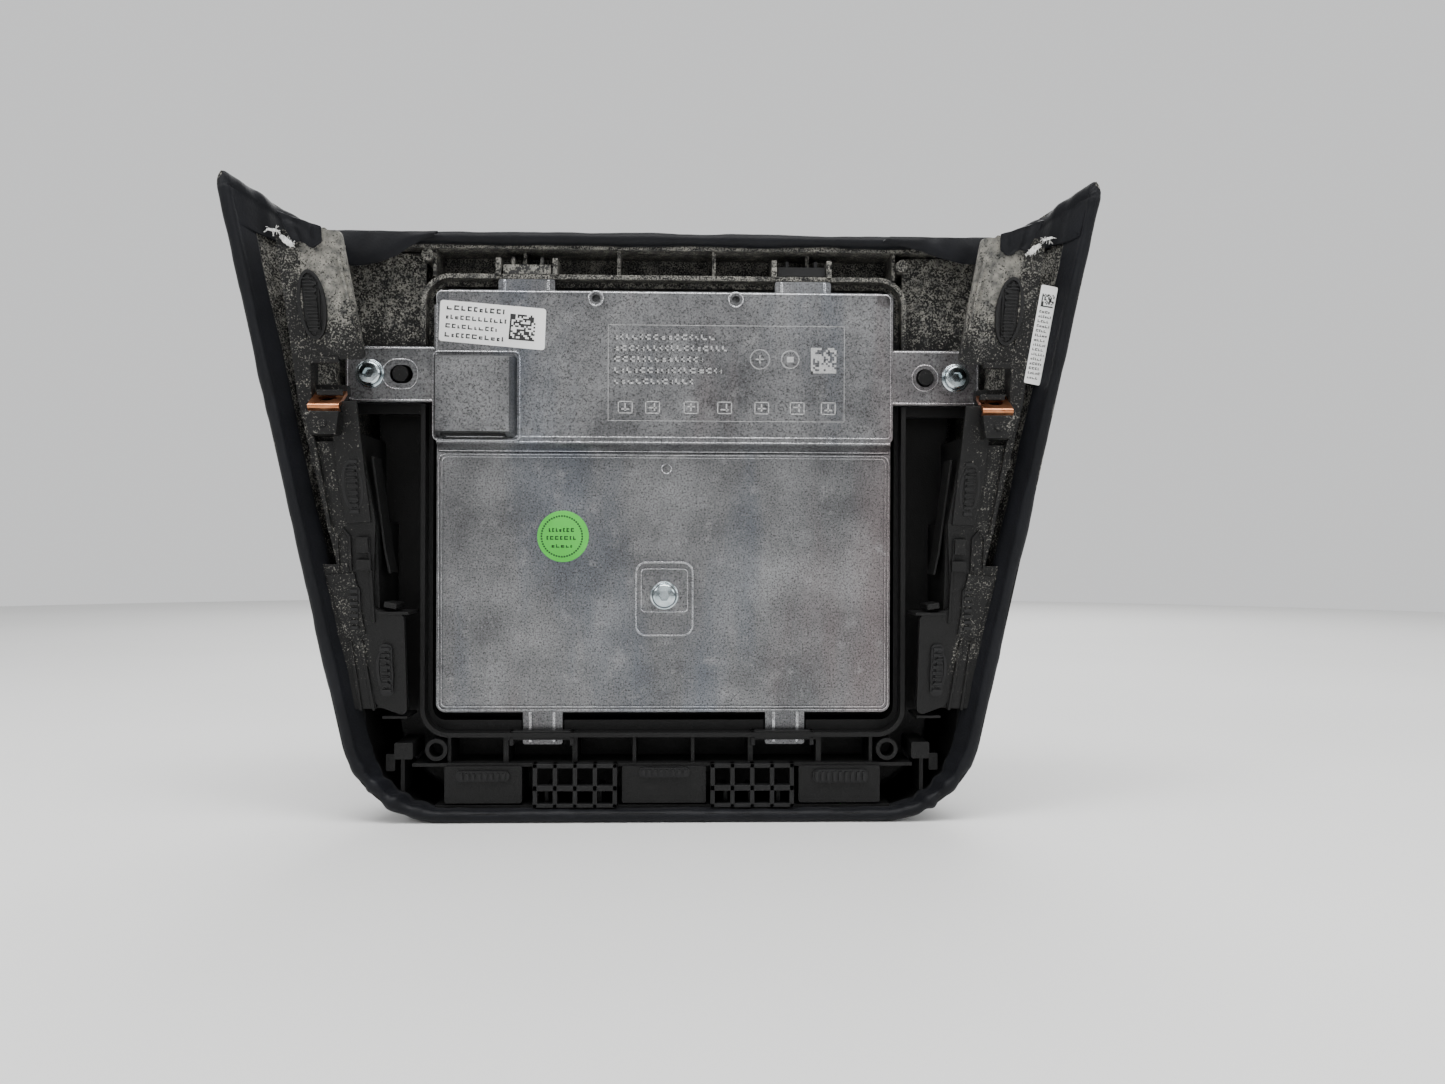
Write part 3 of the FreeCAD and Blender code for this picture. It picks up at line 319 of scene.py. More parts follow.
def make_materials():
    """One material for every CAD piece, by its node name, and for the moulded details."""
    black = plastic("carrier_plastic", 0.0065)
    MATERIAL_OF.update({
        "trim_frame": speckled("trim_speckled", 0.0055, wall_density),
        "inner_carrier": speckled("carrier_speckled", 0.0055, carrier_density),
        "weld_stakes": plastic("weld_plastic", 0.008, 0.5),
        "leather_wrap": leather(),
        "charger_housing": cast_metal("cast_aluminium", 0.15, 0.31, (0.30, 0.42)),
        "connector_shell": plastic("socket_plastic", 0.007),
        "connector_pins": plated("contact", rgb(0.6, 0.52, 0.3), rgb(0.85, 0.76, 0.5)),
        "charger_cover": plastic("cover_plastic", 0.03),
        "cover_gasket": rubber("gasket_rubber", 0.02),
        "coil_tray": plastic("tray_plastic", 0.45),
        "ferrite_left": ceramic(),
        "coil_left": wound_copper(),
        "circuit_board": board(),
        "thermal_pad": rubber("soft_pad", 0.35),
        "ear_screws": plated("zinc", rgb(0.42, 0.50, 0.53), rgb(0.74, 0.80, 0.82), (0.14, 0.26), 0.45),
        "nut_clip_left": plated("copper_steel", rgb(0.50, 0.17, 0.07), rgb(0.80, 0.38, 0.20),
                                (0.24, 0.38)),
        "snap_left": speckled("snap_plastic", 0.02, patchy_density),
        "snap_right": black,
        "part_label": paper("label_paper", rgb(0.74, 0.74, 0.73), rgb(0.84, 0.84, 0.83)),
        "check_sticker": paper("green_paper", rgb(0.045, 0.42, 0.035), rgb(0.07, 0.52, 0.055)),
        "phone_mat_left": rubber("mat_rubber", 0.012),
        "charging_panel": plastic("panel_plastic", 0.02),
        "centre_divider": plastic("divider_plastic", 0.022, 0.15, (0.3, 0.42)),
        "phone_ledge": rubber("ledge_rubber", 0.010),
        "detail_plastic": black,
        # Brighter copy of the cast metal: painted highlight on the ridges along the casting's edges.
        "cast_rims": cast_metal("cast_edge_painted_highlight", 0.38, 0.62, (0.2, 0.3)),
    })
    same = {"ferrite_right": "ferrite_left", "coil_right": "coil_left", "centre_screw": "ear_screws",
            "nut_clip_right": "nut_clip_left", "wing_label": "part_label",
            "phone_mat_right": "phone_mat_left"}
    for name, other in same.items():
        MATERIAL_OF[name] = MATERIAL_OF[other]


# ---- mesh helpers ----

def mesh_object(name, points, faces, material, smooth=True):
    """Object from points in millimetres."""
    mesh = bpy.data.meshes.new(name)
    mesh.from_pydata([Vector(p) * MM for p in points], [], faces)
    mesh.validate()
    mesh.polygons.foreach_set("use_smooth", [smooth] * len(mesh.polygons))
    mesh.materials.append(material)
    made = bpy.data.objects.new(name, mesh)
    bpy.context.scene.collection.objects.link(made)
    return made


def bevel(made, width, angle=35):
    """Soften the edges of a piece."""
    modifier = made.modifiers.new("soft_edges", "BEVEL")
    modifier.width = width * MM
    modifier.segments = 2
    modifier.limit_method = "ANGLE"
    modifier.angle_limit = math.radians(angle)
    return made


def thicken(made, width, offset):
    """Give a sheet its thickness: against its normals (offset -1), both ways (0) or along them (1)."""
    modifier = made.modifiers.new("thickness", "SOLIDIFY")
    modifier.thickness = width * MM
    modifier.offset = offset
    return made


def grid_faces(rows, columns, closed):
    """Four-sided faces of a grid of points; closed joins its last column to its first."""
    faces = []
    last = columns if closed else columns - 1
    for i in range(rows - 1):
        for j in range(last):
            k = (j + 1) % columns
            faces.append((i * columns + j, i * columns + k, (i + 1) * columns + k, (i + 1) * columns + j))
    return faces


def lerp(a, b, t):
    return a + (b - a) * t


def turned(x, z, turn):
    """Offset in X and Z after a turn about Y."""
    return Matrix.Rotation(turn, 2) @ Vector((x, z))


def smooth_step(t):
    t = max(0.0, min(1.0, t))
    return t * t * (3 - 2 * t)


# ---- trim outline ----

# Roundings of the leather at its front crest, at the lip of the bay and at its rim.
CREST = 2.8
LIP = 3.4
EDGE = 2.2
LEATHER_T = 0.95
SCRAP_T = 0.9

# Rows of points across the leather, from the bay to the turned-in edge.
LIP_ROWS = 6
FACE_ROWS = 6
EDGE_ROWS = 8
SKIN_ROWS = 30
REACH_ROWS = 9
CREASED_ROWS = 15
FRONT_ROWS = 4 + LIP_ROWS + FACE_ROWS + EDGE_ROWS

# Points round the outline on each side, each flat and each corner.
SIDE_STEPS = 70
FLAT_STEPS = 90
ARC_STEPS = 44


def rounded_outline(half_low, half_high, low, high, foot, ear):
    """Points round a tapered outline with rounded corners: foot, right side, top, left side."""
    corners = [Vector((-half_low, low)), Vector((half_low, low)),
               Vector((half_high, high)), Vector((-half_high, high))]
    radii = [foot, foot, ear, ear]
    arcs = []
    for i in range(4):
        here = corners[i]
        before = (corners[i - 1] - here).normalized()
        after = (corners[(i + 1) % 4] - here).normalized()
        angle = before.angle(after)
        reach = radii[i] / math.tan(angle / 2)
        centre = here + (before + after).normalized() * (radii[i] / math.sin(angle / 2))
        start = here + before * reach - centre
        end = here + after * reach - centre
        sweep = start.angle_signed(end)
        arcs.append([centre + Matrix.Rotation(-sweep * t / ARC_STEPS, 2) @ start
                     for t in range(ARC_STEPS + 1)])
    points = []
    for i, steps in ((0, FLAT_STEPS), (1, SIDE_STEPS), (2, FLAT_STEPS), (3, SIDE_STEPS)):
        points += arcs[i]
        first = arcs[i][-1]
        last = arcs[(i + 1) % 4][0]
        points += [first.lerp(last, t / steps) for t in range(1, steps)]
    return points


def zone_marks():
    """For every outline point: its zone, its place from 0 to 1 along that, and its side.

    Round an ear the place runs from the side wall to the top edge.
    """
    found = []
    for corner, side, flat, steps in (("foot_corner", -1, "foot", FLAT_STEPS),
                                      ("foot_corner", 1, "side", SIDE_STEPS),
                                      ("ear", 1, "top", FLAT_STEPS),
                                      ("ear", -1, "side", SIDE_STEPS)):
        places = [t / ARC_STEPS for t in range(ARC_STEPS + 1)]
        if corner == "ear" and side < 0:
            places = [1 - t for t in places]
        found += [(corner, t, side) for t in places]
        found += [(flat, t / steps, side) for t in range(1, steps)]
    return found


MARKS = zone_marks()
OUTLINES = {}


def level_outlines(inset):
    """Trim outlines at the three depths, moved in by inset and kept once made."""
    if inset not in OUTLINES:
        OUTLINES[inset] = [rounded_outline(level["low"] - inset, level["high"] - inset, inset,
                                           level["top"] - inset, FOOT_CORNER - inset,
                                           TOP_CORNER - inset) for level in LEVELS]
    return OUTLINES[inset]


def between_levels(y):
    """Number of the level behind depth y, and the fraction of the way to the next."""
    k = 0 if y < LEVELS[1]["y"] else 1
    return k, (y - LEVELS[k]["y"]) / (LEVELS[k + 1]["y"] - LEVELS[k]["y"])


def on_tube(index, y, inset=0.0):
    """Point of the trim surface at outline place index and depth y."""
    outlines = level_outlines(inset)
    k, t = between_levels(y)
    x, z = outlines[k][index].lerp(outlines[k + 1][index], t)
    return Vector((x, y, z))


# How far round the ear the wing is cut off, and where its rear and front ends lie round it.
EAR_CUT = 0.47
EAR_BACK = 0.22
EAR_FRONT = 0.84
EAR_STARTS = {1: 2 * ARC_STEPS + FLAT_STEPS + SIDE_STEPS,
              -1: 3 * ARC_STEPS + 2 * FLAT_STEPS + SIDE_STEPS}


def on_ear(side, place, y, inset=0.0):
    """Point of the trim surface at a free place round an ear."""
    turn = place if side > 0 else 1 - place
    spot = max(0.0, min(1.0, turn)) * ARC_STEPS
    k = min(int(spot), ARC_STEPS - 1)
    start = EAR_STARTS[side] + k
    return on_tube(start, y, inset).lerp(on_tube(start + 1, y, inset), spot - k)


def rim_plane(point_at):
    """Depth at which the surface meets the leaning rim plane."""
    y = -10.0
    for _ in range(8):
        y = RIM_Y - 1.0 - RIM_SLOPE * point_at(max(y, -48.0)).z
    return y


def ear_path(place):
    """Turn round the ear and share of the wing's depth: up the back, along its top, then across."""
    if place < EAR_BACK:
        return EAR_CUT * place / EAR_BACK, 1.0
    if place < EAR_FRONT:
        return EAR_CUT, 1.0 - (place - EAR_BACK) / (EAR_FRONT - EAR_BACK)
    return lerp(EAR_CUT, 1.0, (place - EAR_FRONT) / (1.0 - EAR_FRONT)), 0.0


def skin_point(index, share, inset=0.0, ahead=0.0):
    """Point on the leather between the front crest (share 0) and its rim (share 1)."""
    zone, place, side = MARKS[index]
    front = LEVELS[2]["y"] - CREST
    if zone != "ear":
        rim = 0.0 if zone == "top" else rim_plane(lambda y: on_tube(index, y))
        return on_tube(index, lerp(front, rim + EDGE, share) + ahead, inset)
    turn, deep = ear_path(place)
    turn = lerp(place, turn, smooth_step(share * 1.6))
    rim = rim_plane(lambda y: on_ear(side, turn, y)) * deep
    return on_ear(side, turn, lerp(front, rim + EDGE, share) + ahead, inset)


def wall_x(y, z, inset):
    """Half width of the side wall at depth y and height z."""
    k, t = between_levels(y)
    low, high, top = (lerp(LEVELS[k][key], LEVELS[k + 1][key], t) for key in ("low", "high", "top"))
    return low + (high - low) * z / top - inset


# ---- leather ----

def fold_reach(index):
    """Length of leather turned in behind the rim."""
    zone, place, _ = MARKS[index]
    ragged = 0.9 * noise.noise(Vector((index * 0.11, 3.7, 0.0)))
    if zone == "ear":
        return lerp(13.5, 5.0, smooth_step(place / 0.9)) + 2.2 * ragged
    if zone == "top":
        return 2.6 + 0.4 * ragged
    if zone == "foot_corner":
        return 6.2 + 1.2 * ragged
    return 6.0 + ragged


def fold_point(index, reach):
    """Point on the turned-in leather at a distance from the rim."""
    zone, place, side = MARKS[index]
    plain = skin_point(index, 1.0, 2 * EDGE, reach)
    if zone != "ear":
        return plain
    edge = skin_point(index, 1.0)
    down = smooth_step(place / EAR_BACK)
    z = edge.z - down * (2 * EDGE + reach)
    y = edge.y + reach * lerp(1.0, 0.15, down)
    folded = Vector((side * wall_x(y, z, 2 * EDGE), y, z))
    return folded.lerp(plain, smooth_step((place - EAR_FRONT) / 0.12))


def rim_way(index):
    """Which way the rim's rounded edge points: back, or up along the top of a wing."""
    zone, place, side = MARKS[index]
    back = Vector((0, -EDGE, 0))
    if zone != "ear":
        return back
    rise = smooth_step(place / EAR_BACK) * smooth_step((1 - place) / (1 - EAR_FRONT))
    return back.lerp(Vector((-side * 0.3, -0.35, 0.85)) * EDGE, rise)


def leather_profile(index, bay):
    """Points of one slice: bay lining, lip, face, crest, outside, rim and turned-in edge."""
    inner = bay[index]
    outer = on_tube(index, LEVELS[2]["y"] - 0.01)
    flat = Vector((outer.x, outer.z))
    out = (flat - inner).normalized()
    front = LEVELS[2]["y"]
    line = [Vector((inner.x, lerp(BAY["back"], front - LIP, t / 3), inner.y)) for t in range(4)]
    for t in range(1, LIP_ROWS + 1):
        a = math.pi / 2 * t / LIP_ROWS
        p = inner + out * (LIP * (1 - math.cos(a)))
        line.append(Vector((p.x, front - LIP + LIP * math.sin(a), p.y)))
    for t in range(1, FACE_ROWS + 1):
        p = (inner + out * LIP).lerp(flat - out * CREST, t / FACE_ROWS)
        line.append(Vector((p.x, front, p.y)))
    for t in range(1, EDGE_ROWS + 1):
        a = math.pi / 2 * t / EDGE_ROWS
        surface = on_tube(index, front - CREST + CREST * math.cos(a))
        line.append(surface - Vector((out.x, 0, out.y)) * (CREST * (1 - math.sin(a))))
    line += [skin_point(index, t / SKIN_ROWS) for t in range(1, SKIN_ROWS + 1)]
    last_outer = skin_point(index, 1.0)
    first_inner = fold_point(index, 0.0)
    middle = (last_outer + first_inner) / 2
    for t in range(1, EDGE_ROWS + 1):
        a = math.pi * t / EDGE_ROWS
        line.append(middle + (last_outer - middle) * math.cos(a) + rim_way(index) * math.sin(a))
    reach = fold_reach(index)
    line += [fold_point(index, reach * t / REACH_ROWS) for t in range(1, REACH_ROWS + 1)]
    tail = fold_point(index, reach + 0.5)
    line.append(tail + (last_outer - first_inner).normalized() * LEATHER_T)
    return line


def leather_wrinkle(index, row, rows, point):
    """Height of folds and dents at a grid place."""
    zone, place, _ = MARKS[index]
    soft = 0.38 * noise.fractal(point * 0.045, 1.0, 2.1, 3)
    calm_rows = rows - REACH_ROWS - EDGE_ROWS - CREASED_ROWS
    if row < calm_rows:
        return soft * (0.35 if row < FRONT_ROWS else 1.0)
    near = smooth_step((row - calm_rows) / 12)
    lumps = 0.34 * noise.noise(Vector((index * 0.16, row * 0.10, 1.0)))
    pulls = 0.26 * noise.noise(Vector((index * 0.55, row * 0.045, 8.0)))
    height = soft + near * (lumps + pulls)
    if zone == "ear":
        wave = math.sin(place * 31 + 2.0 * noise.noise(Vector((place * 5, row * 0.1, 2.0))))
        height += near * 0.62 * wave * smooth_step(1 - abs(place - 0.62) / 0.42)
    if zone == "foot_corner":
        wave = math.sin(place * 34 + 1.7 * noise.noise(Vector((place * 6, row * 0.12, 5.0))))
        height += near * 0.62 * wave * smooth_step(1 - abs(place - 0.5) / 0.5)
    return height


def leather_skin():
    """The whole leather cover as one draped surface."""
    bay = rounded_outline(BAY["half"], BAY["half"], BAY["low"], BAY["high"], BAY["corner"], BAY["corner"])
    slices = [leather_profile(i, bay) for i in range(len(MARKS))]
    rows = len(slices[0])
    count = len(slices)
    points = [slices[i][row] for row in range(rows) for i in range(count)]
    made = mesh_object("leather_cover", points, grid_faces(rows, count, True),
                       MATERIAL_OF["leather_wrap"])
    mesh = made.data
    moves = []
    for vertex in mesh.vertices:
        row, index = divmod(vertex.index, count)
        point = points[vertex.index]
        off_floor = smooth_step((point.z - 0.4) / 3.0)
        moves.append(vertex.normal * (leather_wrinkle(index, row, rows, point) * off_floor * MM))
    for vertex, move in zip(mesh.vertices, moves):
        vertex.co += move
        vertex.co.z = max(vertex.co.z, 0.0)
    smooth = made.modifiers.new("smooth", "SUBSURF")
    smooth.levels = 1
    smooth.render_levels = 1
    return made


# Lower edges of the two flaps, both drawn on the left and mirrored for the right.
FLAP_HEMS = {
    -1: ((-116.6, 201.2), (-114.6, 197.4), (-112.1, 194.4), (-108.4, 193.4), (-104.4, 193.6),
         (-98.7, 194.9), (-92.8, 197.3), (-88.6, 200.3), (-85.0, 202.6), (-80.6, 204.2)),
    1: ((-117.5, 198.4), (-114.5, 196.8), (-108.5, 196.2), (-104.1, 196.4), (-97.1, 198.1),
        (-90.1, 200.5), (-83.0, 202.4), (-76.5, 204.0)),
}


def along_line(line, t):
    """Point at fraction t of a broken line, in plain steps."""
    spot = t * (len(line) - 1)
    k = min(int(spot), len(line) - 2)
    return Vector(line[k]).lerp(Vector(line[k + 1]), spot - k)


def leather_scrap(name, across, down, point_at):
    """Loose sheet of leather; point_at gives its points by the fractions across and down."""
    points = [point_at(j / across, i / down) for i in range(down + 1) for j in range(across + 1)]
    made = mesh_object(name, points, grid_faces(down + 1, across + 1, False),
                       MATERIAL_OF["leather_wrap"])
    return bevel(thicken(made, SCRAP_T, 0.0), 0.3)


def top_flap(side):
    """Leather tongue that hangs from the end of the top edge."""
    def point_at(u, v):
        top = Vector((lerp(-119.0, -79.0, u), 205.4))
        p = top.lerp(along_line(FLAP_HEMS[side], u), v)
        swell = 0.55 * math.sin(math.pi * v)
        crease = 0.35 * noise.noise(Vector((u * 9, v * 1.68, 4.0 + side)))
        depth = -1.0 - swell - crease - 0.10 * (208 - p.y) * smooth_step((0.35 - u) / 0.35)
        return p.x * -side, depth, p.y
    return leather_scrap("leather_flap", 48, 14, point_at)


def wing_patch(side):
    """Scrap of leather folded over the top of the welded flange."""
    def point_at(u, v):
        x = lerp(lerp(-124.6, -110.6, u), lerp(-119.6, -110.8, u), v)
        z = lerp(204.2 - 4.8 * u, 193.8 + math.sin(u * 7), v)
        pleat = 0.55 * math.sin(u * 15 + 1.5 * v) * (1 - 0.5 * v)
        lump = 0.5 * noise.noise(Vector((u * 3, v * 3, 7.0 + side)))
        return x * -side, flange_back(z) - 1.3 - pleat - lump, z
    return leather_scrap("leather_patch", 26, 20, point_at)


def join(objects, name):
    """Apply the modifiers of each object and join them under the first one's material."""
    graph = bpy.context.evaluated_depsgraph_get()
    merged = bmesh.new()
    for made in objects:
        merged.from_mesh(made.evaluated_get(graph).to_mesh())
    mesh = bpy.data.meshes.new(name)
    merged.to_mesh(mesh)
    merged.free()
    mesh.materials.append(objects[0].data.materials[0])
    for made in objects:
        bpy.data.objects.remove(made)
    joined = bpy.data.objects.new(name, mesh)
    bpy.context.scene.collection.objects.link(joined)
    return joined


def dress_leather():
    """Cover, flaps and patches as one piece in place of the plain wrap."""
    pieces = [leather_skin(), top_flap(-1), top_flap(1), wing_patch(-1), wing_patch(1)]
    cover = join(pieces, "leather_cover")
    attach(cover, "root")
    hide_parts("leather_wrap")


# ---- moulded details ----

def flange_back(z):
    """Depth of the leaning flange's rear face."""
    return FLANGE_Y - FLANGE_T - RIM_SLOPE * z


def part_point(x, z, depth, lean, mirror):
    """Point at a plain depth, or at a depth counted from the leaning flange."""
    return Vector((x * mirror, depth + (flange_back(z) if lean else 0), z))


def prism(points, back, front, lean=False, mirror=1):
    """Solid between two depths over an outline in X and Z."""
    sides = [part_point(x, z, depth, lean, mirror) for depth in (back, front) for x, z in points]
    n = len(points)
    faces = [tuple(range(n)), tuple(reversed(range(n, 2 * n)))]
    faces += [(i, i + n, (i + 1) % n + n, (i + 1) % n) for i in range(n)]
    return sides, faces


def band(outer, inner, back, front, lean=False, mirror=1):
    """Ring between two outlines with equally many points."""
    points = []
    for outline, depth in ((outer, front), (outer, back), (inner, back), (inner, front)):
        points += [part_point(x, z, depth, lean, mirror) for x, z in outline]
    n = len(outer)
    faces = grid_faces(4, n, True)
    faces += [(k, (k + 1) % n, (k + 1) % n + 3 * n, k + 3 * n) for k in range(n)]
    return points, faces


def rect(x_low, x_high, z_low, z_high):
    return [(x_low, z_low), (x_high, z_low), (x_high, z_high), (x_low, z_high)]


def slab(x_low, x_high, z_low, z_high, back, front):
    """Rectangular prism."""
    return prism(rect(x_low, x_high, z_low, z_high), back, front)


def strip_outline(line, width):
    """Outline of a bar of given width along a broken line."""
    left = []
    right = []
    for i, point in enumerate(line):
        here = Vector(point)
        before = Vector(line[max(i - 1, 0)])
        after = Vector(line[min(i + 1, len(line) - 1)])
        run = (after - before).normalized()
        across = Vector((-run.y, run.x)) * width / 2
        left.append(here + across)
        right.append(here - across)
    return [tuple(p) for p in left + right[::-1]]


def merge(prisms):
    """Points and faces of several solids as one list of each."""
    points = []
    faces = []
    for sides, polygons in prisms:
        start = len(points)
        points += sides
        faces += [tuple(k + start for k in polygon) for polygon in polygons]
    return points, faces


def solid_from(name, prisms, material, soft):
    """One object holding several prisms, its edges softened."""
    made = mesh_object(name, *merge(prisms), material, False)
    fix = bmesh.new()
    fix.from_mesh(made.data)
    bmesh.ops.recalc_face_normals(fix, faces=fix.faces)
    fix.to_mesh(made.data)
    fix.free()
    return bevel(made, soft)


def ellipse(x, z, half_x, half_z, steps=40, turn=0):
    points = []
    for k in range(steps):
        a = 2 * math.pi * k / steps
        p = turned(half_x * math.cos(a), half_z * math.sin(a), turn)
        points.append((x + p.x, z + p.y))
    return points


ROUND_STEPS = 8


def rounded_rect(x_low, x_high, z_low, z_high, radius):
    points = []
    for k, (x, z) in enumerate(((x_high - radius, z_high - radius), (x_low + radius, z_high - radius),
                                (x_low + radius, z_low + radius), (x_high - radius, z_low + radius))):
        for t in range(ROUND_STEPS + 1):
            a = math.pi / 2 * (k + t / ROUND_STEPS)
            points.append((x + radius * math.cos(a), z + radius * math.sin(a)))
    return points


def border(x_low, x_high, z_low, z_high, radius, width, back, front):
    """Raised band round a rounded rectangle."""
    inner = rounded_rect(x_low + width, x_high - width, z_low + width, z_high - width,
                         max(radius - width, 0.2))
    return band(rounded_rect(x_low, x_high, z_low, z_high, radius), inner, back, front)


def collar(x, z, radius, width, back, front):
    """Small round raised collar."""
    hole = radius - width
    return band(ellipse(x, z, radius, radius, 32), ellipse(x, z, hole, hole, 32), back, front)


# Rear faces of the casting's plate, block and screw ears.
PLATE_Y = 6.0
BLOCK_Y = 1.0
EAR_Y = 1.5


def cast_rims():
    """Thin ridges left round the faces of the casting; their brighter metal is a painted highlight along the
    edges.
    """
    prisms = [
        border(-79.9, 79.9, 38.2, 129, 2.6, 0.45, PLATE_Y - 1, PLATE_Y),
        border(-78.8, 78.8, 39.3, 128, 2, 0.4, PLATE_Y - 0.75, PLATE_Y),
        border(-10.4, 10.4, 64.5, 91.1, 4, 0.8, PLATE_Y - 1.9, PLATE_Y),
        border(-8.4, 8.4, 73, 88.6, 1.6, 0.45, PLATE_Y - 2.35, PLATE_Y),
        border(-79.9, 79.9, 134.4, 185.6, 2, 0.5, BLOCK_Y - 0.3, BLOCK_Y + 0.5),
        border(-111, -79, 146.9, 165.7, 2.4, 0.6, EAR_Y - 0.35, EAR_Y + 0.5),
        border(79, 111, 146.9, 165.7, 2.4, 0.6, EAR_Y - 0.35, EAR_Y + 0.5),
        border(-98.6, -86.2, 150.9, 161.7, 4.6, 0.5, EAR_Y - 0.3, EAR_Y + 0.5),
        border(87.2, 96.8, 151.5, 161.1, 4.7, 0.5, EAR_Y - 0.3, EAR_Y + 0.5),
        border(-81, -50.4, 133, 164.4, 2, 0.6, -0.2, 1.2),
    ]
    for z, y in ((132.6, 1.4), (129.7, 5.2)):
        prisms.append(slab(-79.6, 79.6, z, z + 0.5, y - 0.5, y + 0.4))
    for x in (-24.2, 24.8):
        prisms.append(collar(x, 183, 2.8, 0.6, -0.4, 1.2))
    prisms.append(collar(0.6, 124, 1.9, 0.35, PLATE_Y - 0.2, PLATE_Y + 0.2))
    for side in (-1, 1):
        for x in (38.6, 47):
            low, high = sorted((side * x, side * (x + 1.1)))
            prisms.append(slab(low, high, 26.4, 38.8, 7.6, 9))
        for x in (40.6, 55.8):
            low, high = sorted((side * x, side * (x + 1)))
            prisms.append(slab(low, high, 184.6, 189.8, 2.2, 4))
    made = solid_from("cast_rims", prisms, MATERIAL_OF["cast_rims"], 0.18)
    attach(made, "root")


def base_details():
    """Foot grids, bars across the tongue slots and ribs along the bottom rail."""
    prisms = []
    for x_low, x_high in ((-45.6, -16.2), (16.4, 45.8)):
        for z_low, z_high in ((5, 6.4), (10.8, 12.8), (18.8, 20.4)):
            prisms.append(slab(x_low, x_high, z_low, z_high, -1, 3))
        for k in range(5):
            x = lerp(x_low, x_high - 1.6, k / 4)
            prisms.append(slab(x, x + 1.6, 5, 20.4, -1, 3))
    for x_low, x_high in ((-54.3, -31.7), (30.9, 53.1)):
        prisms.append(slab(x_low, x_high, 28.4, 31.2, 3.6, 7.4))
        for x in (x_low, x_high - 1.4):
            prisms.append(slab(x, x + 1.4, 26, 31.2, 3.6, 12))
    made = solid_from("base_details", prisms, MATERIAL_OF["detail_plastic"], 0.2)
    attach(made, "root")


# Details of the flange, drawn on the left and mirrored for the right.
# Plates by outline and height, ribs by line, width and height or by line, width and two depths.
FLANGE_PLATES = (
    ([(-98.8, 40), (-103, 64), (-106.5, 90), (-115.2, 90), (-110.6, 63), (-107.2, 40)], 0.3),
    ([(-110.6, 144), (-101.6, 144.2), (-98.3, 104.2), (-106.4, 103.8), (-108.9, 120)], 1.1),
    ([(-114, 86.3), (-104.4, 87.2), (-101.6, 66), (-108.2, 65)], 1),
    ([(-116.2, 158.4), (-107, 158.4), (-107, 156.4), (-116, 156.4)], 1.2),
    ([(-114.6, 147.8), (-106.2, 147.8), (-106, 146), (-114.4, 146)], 1.2),
)
FLANGE_RIBS = (
    ([(-116.3, 132.5), (-111.8, 100.7)], 1.3, 1.6),
    ([(-105.9, 191.9), (-100.9, 164.1)], 1, 1.2),
    ([(-109.8, 87.6), (-109.9, 99), (-107.8, 102.2), (-105.7, 99.4), (-105.6, 88)], 0.9, 1),
    ([(-106.7, 63.7), (-104, 39.5)], 1, 1.1),
    ([(-103.1, 63.7), (-99.6, 39.5)], 1, 1.1),
    ([(-118.6, 186.5), (-117.6, 164)], 0.8, 0.9),
    ([(-99.4, 99), (-98.6, 70)], 0.9, 0.8),
)
CHANNEL_RIBS = (
    ([(-98.6, 126.5), (-95.4, 94.5), (-94, 86.8)], 0.9, 5, 16),
    ([(-97.4, 73.3), (-86.9, 73.3)], 1.1, -0.5, 16),
    ([(-95.2, 76.4), (-91, 75.6)], 2, 0, 12),
    ([(-97.2, 36.9), (-88.6, 36.9)], 1, 0.5, 16),
    ([(-92.4, 73), (-92.2, 37)], 0.9, 6, 16),
)
BRACKET = {"outline": [(-115.6, 132.8), (-107, 132.8), (-106, 140.4), (-117.6, 140.4)],
           "y": (-25.6, -14), "hole": (-111.4, 136.4, 1.5, 1.2)}
LATCHES = ((-103.3, -99.3, 93.9, 99.2), (-103.7, -98.6, 88, 91.6))
# How far the details go into the flange.
SUNK = 0.4
# Centre x and z, half width, half height and turn of each weld.
STAKE_RINGS = (
    (-114.8, 175, 4.6, 11.2, 0.10),
    (-103.9, 116.2, 3.6, 8.4, 0.08),
    (-95.4, 53.4, 2.9, 7.2, 0.06),
)


def flange_details(mirror, name):
    """Ribs, weld plates, latches and bracket on one side of the carrier."""
    prisms = []
    for outline, height in FLANGE_PLATES:
        prisms.append(prism(outline, -height, SUNK, True, mirror))
    for line, width, height in FLANGE_RIBS:
        prisms.append(prism(strip_outline(line, width), -height, SUNK, True, mirror))
    for line, width, back, front in CHANNEL_RIBS:
        prisms.append(prism(strip_outline(line, width), back, front, True, mirror))
    for latch in LATCHES:
        prisms.append(prism(rect(*latch), -1.9, SUNK, True, mirror))
    back, front = BRACKET["y"]
    prisms.append(prism(BRACKET["outline"], back, front, False, mirror))
    prisms.append(prism(ellipse(*BRACKET["hole"], 20), back - 0.5, back + 0.5, False, mirror))
    made = solid_from(name, prisms, MATERIAL_OF["inner_carrier"], 0.22)
    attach(made, "root")


def stake_face(x, z, half_x, half_z, turn, mirror):
    """Collar, inner face, raised core and slats of one weld."""
    def oval(wide, tall):
        return ellipse(x, z, wide, tall, 40, turn)
    solids = [band(oval(half_x, half_z), oval(half_x - 1.1, half_z - 1.1), -1.2, 0.3, True, mirror),
              prism(oval(half_x - 0.9, half_z - 0.9), -0.5, 0.3, True, mirror),
              prism(oval(half_x * 0.36, half_z * 0.84), -1.5, 0.3, True, mirror)]
    count = int(half_z * 1.5)
    reach = half_x * 0.42
    for k in range(count):
        up = lerp(-half_z * 0.74, half_z * 0.74, k / (count - 1))
        mid_x, mid_z = Vector((x, z)) + turned(0, up, turn)
        slat = rect(mid_x - reach, mid_x + reach, mid_z - 0.22, mid_z + 0.22)
        solids.append(prism(slat, -1.9, -1.2, True, mirror))
    return solids


